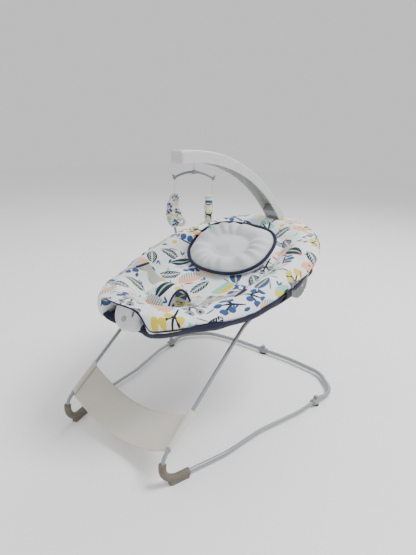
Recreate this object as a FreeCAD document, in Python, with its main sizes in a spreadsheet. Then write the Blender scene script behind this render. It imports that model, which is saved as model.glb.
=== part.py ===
import FreeCAD
import Part
import Sketcher
import math
import os
from FreeCAD import Placement, Rotation, Vector

# Baby bouncer seat: a bent-wire floor frame, a sprung seat with a padded bowl,
# a soothing unit at the foot end and a removable toy arm at the head end.
# Millimetres. +X is the width, +Y runs from the foot end to the head end, +Z is up.
# The origin is on the floor, under the middle of the whole object.

doc = FreeCAD.newDocument("BouncerSeat")

# --------------------------------------------------------------------------
# Driving sizes
# --------------------------------------------------------------------------
SIZES = {
    "overall_length": 650.0,      # front hooks to the back of the arm socket
    "wire_dia": 8.0,              # spring wire of the legs
    "wire_height": 11.0,          # floor wires, centre above the floor
    "hook_radius": 36.0,          # front hook of each leg, to the wire's centre
    "riser_half_gap": 146.0,      # leg risers, centre to the middle of the seat
    "riser_slope": 36.5,          # degrees above the floor
    "foot_dia": 15.0,             # rubber sleeve on the hook
    "rear_tube_dia": 11.0,
    "rear_tube_wall": 1.2,
    "rear_half_width": 258.0,     # rear tube, widest point of its centre
    "connector_half_width": 244.0,
    "connector_y": 126.0,         # side connectors, from the middle of the object
    "rear_bar_y": 274.0,          # rear bar centre, from the middle of the object
    "connector_dia": 16.0,
    "connector_length": 28.0,
    "rim_half_width": 214.0,      # padded rim, outer edge
    "rim_front": 330.0,           # foot half of the rim, from its widest point
    "rim_rear": 280.0,            # head half of the rim, from its widest point
    "rim_rear_gap": 4.0,          # head end of the pad to the overall length
    "rim_foot_z": 301.0,          # rim edge height at the foot end
    "rim_head_z": 402.0,          # rim edge height at the head end
    "rim_band": 62.0,             # width of the padded roll
    "pad_top": 18.0,              # pad above the rim edge
    "pad_side": 8.0,              # straight side of the pad below the rim edge
    "skin_wall": 2.0,             # underside cover
    "skin_gap": 1.0,
    "frame_tube_dia": 12.0,
    "frame_tube_inset": 30.0,     # seat tube centre inside the rim edge, at the sides
    "frame_tube_foot_inset": 78.0,
    "frame_tube_head_inset": 36.0,
    "frame_tube_mid_z": 314.0,
    "frame_foot_fall": 0.2,       # fall of the foot tube towards the foot end
    "frame_head_rise": 0.235,     # rise of the head tube towards the head end
    "hub_radius": 36.0,
    "hub_z": 337.0,
    "hub_inner_x": 171.0,
    "hub_outer_x": 207.0,
    "hub_cover_thick": 6.0,
    "sling_length": 80.0,         # leg sling, along the risers
    "sling_sag": 46.0,
    "sling_thick": 2.0,
    "sling_sleeve_dia": 13.0,
    "unit_radius": 36.0,          # soothing unit face
    "unit_depth": 24.0,
    "unit_wall": 2.2,
    "unit_tilt": 25.0,            # face looks this far above level
    "unit_face_y": -264.0,
    "unit_face_z": 300.0,
    "cell_dia": 14.2,
    "cell_length": 50.2,
    "board_thick": 1.6,
    "button_radius": 6.0,
    "slider_travel": 8.0,
    "motor_dia": 8.0,
    "motor_length": 22.0,
    "weight_radius": 4.0,
    "arm_radius": 522.0,          # toy arm, outer face
    "arm_centre_y": -93.2,
    "arm_centre_z": 82.0,
    "arm_base_angle": 50.0,
    "arm_tip_angle": -3.5,
    "arm_depth": 25.0,
    "arm_width": 44.0,
    "arm_tip_width": 34.0,
    "arm_wall": 2.5,
    "tenon_width": 26.0,
    "tenon_thick": 14.0,
    "tenon_length": 26.0,
    "socket_wall": 3.0,
    "grip_length": 50.0,          # squeeze grip at the foot of the arm
    "grip_travel": 2.5,
    "hook_y": -67.0,              # hanger under the tip of the toy arm
    "hanger_length": 24.0,
    "spinner_length": 81.0,
    "spinner_rise": 12.0,
    "spinner_dia": 5.0,
    "spinner_yaw": 40.0,
    "strap_width": 6.0,
    "strap_length": 30.0,
    "toy_height": 80.0,
    "toy_width": 36.0,
    "toy_thick": 12.0,
    "insert_half_width": 113.0,
    "insert_half_length": 88.0,
    "insert_half_thick": 13.0,
    "insert_y": 76.0,
    "insert_z": 369.0,
    "insert_slope": 31.0,
    "buckle_width": 34.0,
    "buckle_length": 30.0,
    "buckle_thick": 15.0,
    "buckle_y": -92.0,
    "buckle_z": 284.0,
    "tongue_travel": 14.0,
    "webbing_width": 32.0,
    "webbing_thick": 2.0,
    "screw_dia": 4.0,
    "fit": 0.4,                   # gap round a piece that slides or plugs in
    "soft_gap": 1.5,              # gap between soft goods and hard pieces
}

sheet = doc.addObject("Spreadsheet::Sheet", "Sizes")
for row, (alias, value) in enumerate(SIZES.items(), start=1):
    sheet.set("A%d" % row, alias)
    sheet.set("B%d" % row, str(value))
    sheet.setAlias("B%d" % row, alias)
doc.recompute()


def size(alias):
    """A driving size, read from the sheet."""
    return float(sheet.get(alias))


# --------------------------------------------------------------------------
# Document helpers
# --------------------------------------------------------------------------
nodes = []
UP = Vector(0, 0, 1)
ACROSS = Vector(1, 0, 0)
ALONG = Vector(0, 1, 0)
ORIGIN = Vector(0, 0, 0)


def keep(obj, label):
    """Name an object as a sub-part that gets its own file."""
    obj.Label = label
    nodes.append(obj)
    return obj


def feature(label, shape, placement=None):
    """A sub-part whose shape is made with Part's own functions."""
    obj = doc.addObject("Part::Feature", label)
    tidy = shape.removeSplitter() if shape.ShapeType == "Solid" else shape
    own_place = tidy.Placement
    obj.Shape = tidy
    obj.Placement = (placement or Placement()).multiply(own_place)
    return keep(obj, label)


def sketch_in(body, role, name):
    """A sketch on one of a body's own origin planes."""
    sketch = body.newObject("Sketcher::SketchObject", name)
    plane = [item for item in body.Origin.OriginFeatures if item.Role == role][0]
    sketch.AttachmentSupport = [(plane, "")]
    sketch.MapMode = "FlatFace"
    return sketch


def sketch_circle(sketch, radius):
    """A circle about the sketch's origin, its radius bound to the sheet."""
    index = sketch.addGeometry(Part.Circle(ORIGIN, UP, 5.0))
    sketch.addConstraint(Sketcher.Constraint("Coincident", index, 3, -1, 1))
    number = sketch.addConstraint(Sketcher.Constraint("Radius", index, 5.0))
    sketch.setExpression("Constraints[%d]" % number, radius)


def sketch_rectangle(sketch, width, height):
    """A rectangle centred on the sketch's origin, bound to the sheet."""
    corners = [Vector(-5, -5, 0), Vector(5, -5, 0), Vector(5, 5, 0), Vector(-5, 5, 0)]
    for start, end in zip(corners, corners[1:] + corners[:1]):
        sketch.addGeometry(Part.LineSegment(start, end))
    for index in range(4):
        sketch.addConstraint(Sketcher.Constraint("Coincident", index, 2, (index + 1) % 4, 1))
    for index, way in enumerate(("Horizontal", "Vertical", "Horizontal", "Vertical")):
        sketch.addConstraint(Sketcher.Constraint(way, index))
    sketch.addConstraint(Sketcher.Constraint("Symmetric", 0, 1, 2, 1, -1, 1))
    wide = sketch.addConstraint(Sketcher.Constraint("DistanceX", 0, 1, 0, 2, 10.0))
    tall = sketch.addConstraint(Sketcher.Constraint("DistanceY", 1, 1, 1, 2, 10.0))
    sketch.setExpression("Constraints[%d]" % wide, width)
    sketch.setExpression("Constraints[%d]" % tall, height)


def disc_body(label, placement, radius, length, bore=None):
    """A round piece padded up from its own XY plane, with a hole if bore is given."""
    body = doc.addObject("PartDesign::Body", label)
    pad = body.newObject("PartDesign::Pad", label + "_pad")
    pad.Profile = sketch_in(body, "XY_Plane", label + "_outline")
    sketch_circle(pad.Profile[0], radius)
    pad.setExpression("Length", length)
    if bore:
        doc.recompute()
        hole = body.newObject("PartDesign::Pocket", label + "_bore")
        hole.Profile = sketch_in(body, "XY_Plane", label + "_bore_outline")
        sketch_circle(hole.Profile[0], bore)
        hole.Type = "ThroughAll"
        hole.Midplane = True
    body.Placement = placement
    return keep(body, label)


def block_body(label, placement, width, height, length, round_edges=None):
    """A block padded up from its own XY plane, its long edges rounded if asked."""
    body = doc.addObject("PartDesign::Body", label)
    pad = body.newObject("PartDesign::Pad", label + "_pad")
    pad.Profile = sketch_in(body, "XY_Plane", label + "_outline")
    sketch_rectangle(pad.Profile[0], width, height)
    pad.setExpression("Length", length)
    if round_edges:
        doc.recompute()
        upright = [
            "Edge%d" % (index + 1)
            for index, edge in enumerate(pad.Shape.Edges)
            if abs(edge.tangentAt(edge.FirstParameter).z) > 0.9
        ]
        fillet = body.newObject("PartDesign::Fillet", label + "_rounding")
        fillet.Base = (pad, upright)
        fillet.setExpression("Radius", round_edges)
    body.Placement = placement
    return keep(body, label)


# --------------------------------------------------------------------------
# Shape helpers
# --------------------------------------------------------------------------
def bent_path(points, radii):
    """Straight runs through the points, joined by tangent arcs of the given radii."""
    edges = []
    start = points[0]
    for before, corner, after, radius in zip(points, points[1:], points[2:], radii):
        back = (before - corner).normalize()
        ahead = (after - corner).normalize()
        half_turn = (math.pi - back.getAngle(ahead)) / 2
        reach = radius * math.tan(half_turn)
        arc_start = corner + back * reach
        arc_end = corner + ahead * reach
        middle = (back + ahead).normalize()
        arc_mid = corner + middle * (radius / math.cos(half_turn) - radius)
        if (arc_start - start).Length > 0.01:
            edges.append(Part.LineSegment(start, arc_start).toShape())
        edges.append(Part.Arc(arc_start, arc_mid, arc_end).toShape())
        start = arc_end
    edges.append(Part.LineSegment(start, points[-1]).toShape())
    return edges


def rod(edges, diameter):
    """A round section swept along tangent edges."""
    path = Part.Wire(edges)
    first = edges[0]
    heading = first.tangentAt(first.FirstParameter)
    ring = Part.Wire(Part.makeCircle(diameter / 2, first.valueAt(first.FirstParameter), heading))
    return path.makePipeShell([ring], True, False)


def mirrored(shape):
    """The same piece on the other side of the seat."""
    return shape.mirror(ORIGIN, ACROSS)


def cylinder_between(start, end, radius):
    """A cylinder from one point to another."""
    along = end - start
    return Part.makeCylinder(radius, along.Length, start, along)


def box_about(centre, x_size, y_size, z_size, rotation=None):
    """A box by its centre and sizes, turned about its centre."""
    box = Part.makeBox(x_size, y_size, z_size, Vector(-x_size / 2, -y_size / 2, -z_size / 2))
    box.Placement = Placement(centre, rotation or Rotation())
    return box


def screw(head, heading, length, diameter):
    """A pan-head screw: its head stands at the point and its shank goes along heading."""
    shank = Part.makeCylinder(diameter / 2, length, head, heading)
    cap = Part.makeCylinder(diameter, diameter * 0.6, head - heading * (diameter * 0.6), heading)
    return shank.fuse(cap)


def ribbon(points, radii, width, thickness):
    """A flat strap whose middle line runs through points, with its width along X."""
    edges = bent_path(points, radii)
    first = edges[0]
    start = first.valueAt(first.FirstParameter)
    heading = first.tangentAt(first.FirstParameter)
    side = heading.cross(ACROSS).normalize() * (thickness / 2)
    across = ACROSS * (width / 2)
    corners = [start - across - side, start + across - side, start + across + side, start - across + side]
    profile = Part.makePolygon(corners + corners[:1])
    return Part.Wire(edges).makePipeShell([profile], True, False)


def both_sides(name, shape):
    """One sub-part on each side: the +X one is called right."""
    feature(name + "_right", shape)
    feature(name + "_left", mirrored(shape))


fit = size("fit")
soft_gap = size("soft_gap")
half_length = size("overall_length") / 2

# --------------------------------------------------------------------------
# Floor frame: hooks, floor wires, rear tubes, connectors
# --------------------------------------------------------------------------
wire = size("wire_dia")
floor_z = size("wire_height")
hook_r = size("hook_radius")
hook_x = size("riser_half_gap")
hook_y = -half_length + size("foot_dia") / 2 + hook_r
hook_z = floor_z + hook_r
hook_centre = Vector(hook_x, hook_y, hook_z)
slope = math.radians(size("riser_slope"))

SPLIT = math.radians(300)         # heading at which the leg wire is parted, inside the rubber
SPLIT_GAP = math.radians(5)
RUBBER_START = math.radians(258)
HOOK_END = math.radians(360)


def hook_point(heading):
    """A point on the hook's arc, where the wire runs at this heading in the YZ plane."""
    return hook_centre + Vector(0, math.sin(heading), -math.cos(heading)) * hook_r


def hook_arc(start, end):
    """The stretch of the hook between two headings."""
    middle = (start + end) / 2
    return Part.Arc(hook_point(start), hook_point(middle), hook_point(end)).toShape()


connector = Vector(size("connector_half_width"), size("connector_y"), floor_z)

# The floor part of the hook is turned outwards about the upright line through the split.
first_bend = Vector(hook_x + 41, hook_y + 112, floor_z)
second_bend = Vector(hook_x + 55, hook_y + 220, floor_z)
third_bend = Vector(connector.x - 9, connector.y - 65, floor_z)
split_point = hook_point(SPLIT + SPLIT_GAP / 2)
splay = math.degrees(math.atan2(first_bend.x - hook_x, first_bend.y - split_point.y))


def splayed(edges):
    """Turn edges outwards about the upright line through the split in the wire."""
    turned = []
    for edge in edges:
        copy = edge.copy()
        copy.rotate(split_point, UP, -splay)
        turned.append(copy)
    return turned


floor_hook = splayed([hook_arc(SPLIT + SPLIT_GAP, HOOK_END)])
hook_exit = floor_hook[0].valueAt(floor_hook[0].LastParameter)
connector_heading = (connector - third_bend).normalize()
wire_end = connector + connector_heading * -1.5
bends = [hook_exit, first_bend, second_bend, third_bend, wire_end]
floor_run = bent_path(bends, [160, 160, 160])
both_sides("floor_wire", rod(floor_hook + floor_run, wire))

riser_heading = Vector(0, math.cos(slope), math.sin(slope))
riser_start = hook_point(math.pi + slope)
riser_length = 290.0
hub_centre = Vector(size("hub_inner_x"), half_length - size("rim_rear_gap") - size("rim_rear"), size("hub_z"))
riser_bend = riser_start + riser_heading * riser_length
riser_end = Vector(size("hub_inner_x") + 6, hub_centre.y - 14, hub_centre.z - 11)
riser_run = bent_path([riser_start, riser_bend, riser_end], [50])
riser_edges = [hook_arc(math.pi + slope, SPLIT)]
riser_up = rod([edge.copy() for edge in riser_run], wire)
riser_hook = rod(riser_edges, wire)
riser = riser_up.fuse(riser_hook)
both_sides("riser", riser)

rubber_tail = 24.0
OVERLAP = math.radians(2)         # the two halves of the rubber run past the split by this much
tail_heading = (first_bend - hook_exit).normalize()


def rubber_rods(diameter, front_extra, tail_extra):
    """The rubber's two stretches: up the hook, and round it onto the floor wire."""
    front = rod([hook_arc(RUBBER_START - front_extra, SPLIT + SPLIT_GAP / 2 + OVERLAP)], diameter)
    tail = Part.LineSegment(hook_exit, hook_exit + tail_heading * (rubber_tail + tail_extra)).toShape()
    back = rod(splayed([hook_arc(SPLIT + SPLIT_GAP / 2 - OVERLAP, HOOK_END)]) + [tail], diameter)
    return front, back


tread = box_about(ORIGIN, size("foot_dia") - 2, 44, floor_z)
tread = tread.makeFillet(3, [edge for edge in tread.Edges if abs(edge.tangentAt(0).z) > 0.9])
tread.Placement = Placement(
    Vector(hook_exit.x, hook_exit.y, floor_z / 2) + tail_heading * 2, Rotation(UP, -splay)
)
rubber_front, rubber_back = rubber_rods(size("foot_dia"), 0.0, 0.0)
rubber = rubber_front.fuse(rubber_back).fuse(tread)
for bore in rubber_rods(wire + 2 * fit, 0.05, 4.0):
    rubber = rubber.cut(bore)
both_sides("front_foot", rubber)

rear_dia = size("rear_tube_dia")
rear_y = size("rear_bar_y")
corner_x = size("rear_half_width")
tube_start = connector + connector_heading * 1.5
rear_points = [
    tube_start,
    connector + connector_heading * (size("connector_length") / 2 + 8),
    Vector(corner_x + 3, connector.y + 52, floor_z),
    Vector(corner_x - 20, rear_y - 62, floor_z),
    Vector(corner_x - 66, rear_y - 14, floor_z),
    Vector(90, rear_y, floor_z),
    Vector(1.5, rear_y, floor_z),
]
rear_edges = bent_path(rear_points, [60, 60, 90, 70, 160])
rear_tube = rod(rear_edges, rear_dia).cut(rod(rear_edges, rear_dia - 2 * size("rear_tube_wall")))
both_sides("rear_tube", rear_tube)


PAD_HEIGHT = 3.0


def connector_shape(centre, heading, front_bore_dia, rear_bore_dia):
    """A moulded collar round the joint between two tubes, with a boss for its pad below."""
    length = size("connector_length")
    radius = size("connector_dia") / 2
    start = centre - heading * (length / 2)
    collar = Part.makeCylinder(radius, length, start, heading)
    collar = collar.makeChamfer(1.5, [edge for edge in collar.Edges if edge.Length > radius * 6])
    boss = Part.makeCylinder(7, floor_z - PAD_HEIGHT, Vector(centre.x, centre.y, PAD_HEIGHT))
    tab = box_about(centre + Vector(0, 0, radius + 2), 9, 9, 8, Rotation())
    body = collar.fuse([boss, tab])
    body = body.cut(Part.makeCylinder(front_bore_dia / 2 + 0.1, length / 2 - 1, start, heading))
    end = centre + heading * (length / 2)
    body = body.cut(Part.makeCylinder(rear_bore_dia / 2 + 0.1, length / 2 - 1, end, heading * -1))
    screw_hole = Part.makeCylinder(size("screw_dia") / 2, 8, centre + Vector(0, 0, radius - 1))
    return body.cut(screw_hole)


def connector_pad(centre):
    """The round rubber pad that the collar stands on."""
    pad = Part.makeCylinder(9, PAD_HEIGHT, Vector(centre.x, centre.y, 0))
    return pad.makeFillet(0.8, [pad.Edges[2]])


rear_middle = Vector(0, rear_y, floor_z)
for word, side in (("right", 1), ("left", -1)):
    spot = Vector(side * connector.x, connector.y, connector.z)
    heading = Vector(side * connector_heading.x, connector_heading.y, 0)
    feature("connector_" + word, connector_shape(spot, heading, wire, rear_dia))
feature("connector_centre", connector_shape(rear_middle, ACROSS, rear_dia, rear_dia))
connector_spots = [connector, Vector(-connector.x, connector.y, connector.z), rear_middle]
feature("connector_pads", Part.makeCompound([connector_pad(spot) for spot in connector_spots]))
screw_top = size("connector_dia") / 2 + 6.0
connector_screws = [
    screw(spot + Vector(0, 0, screw_top), UP * -1, 6.0, size("screw_dia") - 0.2)
    for spot in connector_spots
]
feature("connector_screws", Part.makeCompound(connector_screws))

# --------------------------------------------------------------------------
# Rim of the seat: one egg-shaped outline that everything follows
# --------------------------------------------------------------------------
rim_y = half_length - size("rim_rear_gap") - size("rim_rear")
rim_a = size("rim_half_width")
rim_b_foot = size("rim_front")
rim_b_head = size("rim_rear")


def rim_height(y):
    """Height of the rim's outer edge: level at the foot end, then an easy rise to the head."""
    foot_rise_start = rim_y - 233.0
    span = rim_y + rim_b_head - foot_rise_start
    share = (y - foot_rise_start) / span
    if share < 0:
        return size("rim_foot_z") + 12.0 * (share * span / 97.0) ** 2
    share = min(share, 1.0)
    return size("rim_foot_z") + (size("rim_head_z") - size("rim_foot_z")) * share * share * (3 - 2 * share)


STATIONS = (-0.985, -0.9, -0.7, -0.4, 0.0, 0.4, 0.7, 0.9, 0.985)
OUTER_DEPTH = (34, 55, 80, 101, 98, 74, 60, 54, 44)
BOWL_DEPTH = (10, 26, 56, 76, 66, 45, 32, 20, 8)


def section(y, half_width, side_z, low_z, top_z):
    """Cross-section of a trough: a half ellipse below, straight sides and a flat top."""
    left_low = Vector(-half_width, y, side_z)
    right_low = Vector(half_width, y, side_z)
    depth = side_z - low_z
    if half_width >= depth:
        curve = Part.Ellipse(right_low, Vector(0, y, low_z), Vector(0, y, side_z))
    else:
        curve = Part.Ellipse(Vector(0, y, low_z), right_low, Vector(0, y, side_z))
    first = curve.parameter(left_low)
    last = curve.parameter(right_low)
    arc = Part.ArcOfEllipse(curve, min(first, last), max(first, last))
    low_point = arc.value((arc.FirstParameter + arc.LastParameter) / 2)
    if low_point.z > side_z:
        arc = Part.ArcOfEllipse(curve, max(first, last), min(first, last) + 2 * math.pi)
    start = arc.value(arc.FirstParameter)
    end = arc.value(arc.LastParameter)
    edges = [arc.toShape()]
    end_top = Vector(end.x, y, top_z)
    start_top = Vector(start.x, y, top_z)
    edges.append(Part.LineSegment(end, end_top).toShape())
    edges.append(Part.LineSegment(end_top, start_top).toShape())
    edges.append(Part.LineSegment(start_top, start).toShape())
    return Part.Wire(edges)


def trough(inset, depths, side_drop, top_rise):
    """Egg-shaped tray: the rim outline drawn in by inset, hanging to the given depths."""
    wires = []
    for station, depth in zip(STATIONS, depths):
        reach = (rim_b_foot if station < 0 else rim_b_head) - inset
        y = rim_y + reach * station
        edge_z = rim_height(y)
        half_width = (rim_a - inset) * math.sqrt(1 - station * station)
        wires.append(section(y, half_width, edge_z - side_drop, edge_z - depth, edge_z + top_rise))
    return Part.makeLoft(wires, True, True)


pad_side = size("pad_side")
pad_outer = trough(0.0, OUTER_DEPTH, pad_side, size("pad_top"))
bowl = trough(size("rim_band"), BOWL_DEPTH, -size("pad_top") + 6, 80.0)
skin_gap = size("skin_gap")
skin_out = skin_gap + size("skin_wall")
skin_inner = trough(-skin_gap, [depth + skin_gap for depth in OUTER_DEPTH], pad_side, 40.0)
skin_outer = trough(-skin_out, [depth + skin_out for depth in OUTER_DEPTH], pad_side, -pad_side + 3)

# --------------------------------------------------------------------------
# Seat tubes and side hubs
# --------------------------------------------------------------------------
tube_dia = size("frame_tube_dia")
tube_x = rim_a - size("frame_tube_inset")
tube_foot = rim_b_foot - size("frame_tube_foot_inset")
tube_head = rim_b_head - size("frame_tube_head_inset")
tube_z = size("frame_tube_mid_z")
foot_fall = math.degrees(math.atan(size("frame_foot_fall")))
head_rise = math.degrees(math.atan(size("frame_head_rise")))
TUBE_END = 2.0                    # each tube stops this far short of the hub's middle


def half_loop(x_axis, y_axis, to_head, offset=0.0, gap=0.0):
    """Half an ellipse in plan, round the foot or the head end, that stops gap short of the hubs."""
    a = x_axis + offset
    b = y_axis + offset
    major, minor = (ACROSS * a, ALONG * b) if a >= b else (ALONG * b, ACROSS * a)
    ellipse = Part.Ellipse(major, minor, ORIGIN)
    sign = 1 if to_head else -1
    end_x = a * math.sqrt(1 - (gap / b) ** 2)
    starts = ellipse.parameter(Vector(end_x, sign * gap, 0))
    ends = ellipse.parameter(Vector(-end_x, sign * gap, 0))
    middle = ellipse.parameter(Vector(0, sign * b, 0))
    low, high = sorted((starts, ends))
    if low < middle < high:
        return Part.ArcOfEllipse(ellipse, low, high).toShape()
    return Part.ArcOfEllipse(ellipse, high, low + 2 * math.pi).toShape()


def seat_loop_place(to_head):
    """Put a loop at the hubs and tilt it to its slope."""
    angle = head_rise if to_head else foot_fall
    return Placement(Vector(0, rim_y, tube_z), Rotation(ACROSS, angle))


def seat_tube(to_head, diameter):
    """One seat tube, round the head end or the foot end."""
    reach = tube_head if to_head else tube_foot
    tube = rod([half_loop(tube_x, reach, to_head, gap=TUBE_END)], diameter)
    tube.Placement = seat_loop_place(to_head)
    return tube


head_tube = seat_tube(True, tube_dia).cut(seat_tube(True, tube_dia - 2.4))
foot_tube = seat_tube(False, tube_dia).cut(seat_tube(False, tube_dia - 2.4))
feature("seat_tube_head", head_tube)
feature("seat_tube_foot", foot_tube)


def tube_pocket(to_head):
    """Room for a seat tube in the pad, open downwards."""
    reach = tube_head if to_head else tube_foot
    half = tube_dia / 2 + soft_gap
    outer = half_loop(tube_x, reach, to_head, half)
    inner = half_loop(tube_x, reach, to_head, -half)
    ends = []
    for sign in (1, -1):
        a = Vector(sign * (tube_x - half), 0, 0)
        b = Vector(sign * (tube_x + half), 0, 0)
        ends.append(Part.LineSegment(a, b).toShape())
    ring = Part.Face(Part.Wire(Part.sortEdges([outer, inner] + ends)[0]))
    pocket = ring.extrude(Vector(0, 0, -150))
    pocket.translate(Vector(0, 0, half))
    pocket.Placement = seat_loop_place(to_head).multiply(pocket.Placement)
    return pocket


def half_disc(x_low, x_high, radius, grow=0.0):
    """A hub's D shape: a disc across X with its top cut off."""
    disc = Part.makeCylinder(
        radius + grow, x_high - x_low + 2 * grow, Vector(x_low - grow, hub_centre.y, hub_centre.z), ACROSS
    )
    top = Part.makeBox(400, 400, 200, Vector(0, hub_centre.y - 200, hub_centre.z + 6 + grow))
    return disc.cut(top)


hub_in = size("hub_inner_x")
hub_out = size("hub_outer_x")
hub_r = size("hub_radius")
cover_out = hub_out + size("hub_cover_thick")
hub = half_disc(hub_in, hub_out, hub_r)
hub = hub.cut([
    seat_tube(True, tube_dia + 0.2),
    seat_tube(False, tube_dia + 0.2),
    rod([edge.copy() for edge in riser_run], wire + 0.2),
])
hub_screw_spots = [Vector(cover_out, hub_centre.y + dy, hub_centre.z - 12) for dy in (-16, 16)]
hub_cover = half_disc(hub_out, cover_out, hub_r)
flute_count = 9
for index in range(flute_count):
    flute_y = hub_centre.y + (index - (flute_count - 1) / 2) * 6.4
    start = Vector(cover_out + 0.6, flute_y, hub_centre.z - hub_r - 5)
    hub_cover = hub_cover.cut(Part.makeCylinder(2.2, 2 * hub_r, start))
screw_r = size("screw_dia") / 2
for spot in hub_screw_spots:
    inward = spot - ACROSS * 30
    hub_cover = hub_cover.cut(cylinder_between(inward, spot + ACROSS * 5, screw_r))
    hub_cover = hub_cover.cut(cylinder_between(spot - ACROSS * 3.2, spot + ACROSS * 5, screw_r * 2 + 0.3))
    hub = hub.cut(cylinder_between(spot - ACROSS * 16, spot + ACROSS * 5, screw_r))
both_sides("hub", hub)
both_sides("hub_cover", hub_cover)
hub_screws = [
    screw(spot - ACROSS * 3.2, ACROSS * -1, 12.0, size("screw_dia") - 0.2) for spot in hub_screw_spots
]
feature("hub_screws", Part.makeCompound(hub_screws + [mirrored(piece) for piece in hub_screws]))

# --------------------------------------------------------------------------
# Soothing unit: built about its face, then turned to look out and up
# --------------------------------------------------------------------------
unit_place = Placement(
    Vector(0, size("unit_face_y"), size("unit_face_z")), Rotation(ACROSS, 90 - size("unit_tilt"))
)
unit_r = size("unit_radius")
unit_depth = size("unit_depth")
unit_wall = size("unit_wall")
cells_across = 3
box_x = size("cell_length") + 2 * (unit_wall + 2.5)
box_y = cells_across * (size("cell_dia") + 0.8) + 2 * unit_wall + 0.6
box_z = size("cell_dia") + unit_wall + 3.6
button_spot = Vector(-3, -13, 0)
slider_spot = Vector(17, 3, 0)
lens_spot = Vector(9, -18, 0)


def unit_revolve(points):
    """Turn a half profile about the unit's axis: points are radius and depth."""
    outline = [Vector(radius, 0, depth) for radius, depth in points]
    face = Part.Face(Part.makePolygon(outline + outline[:1]))
    return face.revolve(ORIGIN, UP, 360)


case_front = unit_revolve([(0, 0), (unit_r, 0), (unit_r, -unit_depth), (0, -unit_depth)])
case_front = case_front.makeFillet(
    7, [edge for edge in case_front.Edges if edge.BoundBox.ZMin > -0.1 and edge.Length > 50]
)
hollow_r = unit_r - unit_wall
hollow = Part.makeCylinder(hollow_r, unit_depth, Vector(0, 0, -unit_depth - unit_wall))
hollow = hollow.makeFillet(
    5.5, [edge for edge in hollow.Edges if edge.BoundBox.ZMin > -unit_wall - 0.1 and edge.Length > 50]
)
case_front = case_front.cut(hollow)
for x in (-14, 14):
    boss = Part.makeCylinder(4.0, unit_depth - unit_wall, Vector(x, -27.5, -unit_depth))
    bore = Part.makeCylinder(size("screw_dia") / 2, unit_depth - 6, Vector(x, -27.5, -unit_depth))
    case_front = case_front.fuse(boss.common(hollow)).cut(bore)
slot_row = 14.0
for index in range(4):
    slot = box_about(Vector(-17 + 8.5 * index, slot_row, 0), 2.6, 11, 12, Rotation(UP, -14))
    slot = slot.makeFillet(1.25, [edge for edge in slot.Edges if abs(edge.tangentAt(0).z) > 0.9])
    case_front = case_front.cut(slot)
button_r = size("button_radius")
case_front = case_front.cut(Part.makeCylinder(button_r + fit, 12, button_spot + Vector(0, 0, -8)))
slider_size = 5.0
slot_length = slider_size + size("slider_travel") + 2 * fit
case_front = case_front.cut(box_about(slider_spot, 4.0 + 2 * fit, slot_length, 16))
case_front = case_front.cut(Part.makeCylinder(2.0, 12, lens_spot + Vector(0, 0, -8)))
feature("unit_case_front", case_front, unit_place)

back_plate = Part.makeCylinder(unit_r - 1, unit_wall, Vector(0, 0, -unit_depth - unit_wall))
box_centre = Vector(0, 2, -unit_depth - unit_wall - box_z / 2)
cell_box = box_about(box_centre, box_x, box_y, box_z)
cell_box = cell_box.makeFillet(3, [edge for edge in cell_box.Edges if abs(edge.tangentAt(0).z) > 0.9])
door_wall = 1.8
cell_room = box_about(
    box_centre + Vector(0, 0, -door_wall), box_x - 2 * unit_wall, box_y - 2 * unit_wall, box_z
)
case_back = back_plate.fuse(cell_box).cut(cell_room)
case_screw_spots = [Vector(x, -27.5, -unit_depth - unit_wall) for x in (-14, 14)]
for spot in case_screw_spots:
    case_back = case_back.cut(Part.makeCylinder(screw_r, 20, spot + Vector(0, 0, -10)))
feature("unit_case_back", case_back, unit_place)

door_z = box_centre.z - box_z / 2
door = box_about(
    Vector(0, box_centre.y, door_z + door_wall / 2 - 0.05),
    box_x - 2 * unit_wall - 2 * fit, box_y - 2 * unit_wall - 2 * fit, door_wall
)
feature("battery_door", door, unit_place)
cell_r = size("cell_dia") / 2
cell_z = box_centre.z + box_z / 2 - door_wall - cell_r - 0.6
cells = []
for index in range(cells_across):
    cell_y = box_centre.y + (index - 1) * (size("cell_dia") + 0.8)
    start = Vector(-size("cell_length") / 2, cell_y, cell_z)
    can = Part.makeCylinder(cell_r, size("cell_length") - 1.5, start, ACROSS)
    tip = Part.makeCylinder(2.7, 1.5, start + ACROSS * (size("cell_length") - 1.5), ACROSS)
    cells.append(can.fuse(tip))
feature("battery_cells", Part.makeCompound(cells), unit_place)
contact_x = size("cell_length") / 2 + 1.0
contacts = [
    box_about(Vector(side * contact_x, box_centre.y, cell_z), 0.6, 3 * cell_r * 1.8, cell_r * 1.2)
    for side in (-1, 1)
]
feature("battery_contacts", Part.makeCompound(contacts), unit_place)
case_screws = [
    screw(spot + Vector(0, 0, -0.1), UP, 8.0, size("screw_dia") - 0.2) for spot in case_screw_spots
]
feature("unit_screws", Part.makeCompound(case_screws), unit_place)

speaker_place = unit_place.multiply(Placement(Vector(-4, slot_row, -8.5), Rotation()))
disc_body("speaker", speaker_place, "Sizes.unit_radius * 0.36", "Sizes.unit_wall * 2")
board_place = unit_place.multiply(Placement(Vector(0, -1, -12.5), Rotation()))
block_body(
    "circuit_board", board_place, "Sizes.unit_radius * 1.3", "Sizes.unit_radius * 1.1",
    "Sizes.board_thick", "Sizes.board_thick"
)
motor_spot = Vector(-14, -8, -unit_depth + 4.5)
motor_place = unit_place.multiply(Placement(motor_spot, Rotation(ALONG, 90)))
disc_body("vibration_motor", motor_place, "Sizes.motor_dia / 2", "Sizes.motor_length")
weight_place = unit_place.multiply(
    Placement(motor_spot + ACROSS * (size("motor_length") + 1.0), Rotation(ALONG, 90))
)
lobe = Part.makeCylinder(size("weight_radius"), 6, ORIGIN, UP, 180)
weight = lobe.fuse(Part.makeCylinder(1.6, 6))
feature("motor_weight", weight, weight_place)
button_place = unit_place.multiply(Placement(button_spot + Vector(0, 0, -5), Rotation()))
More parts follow.
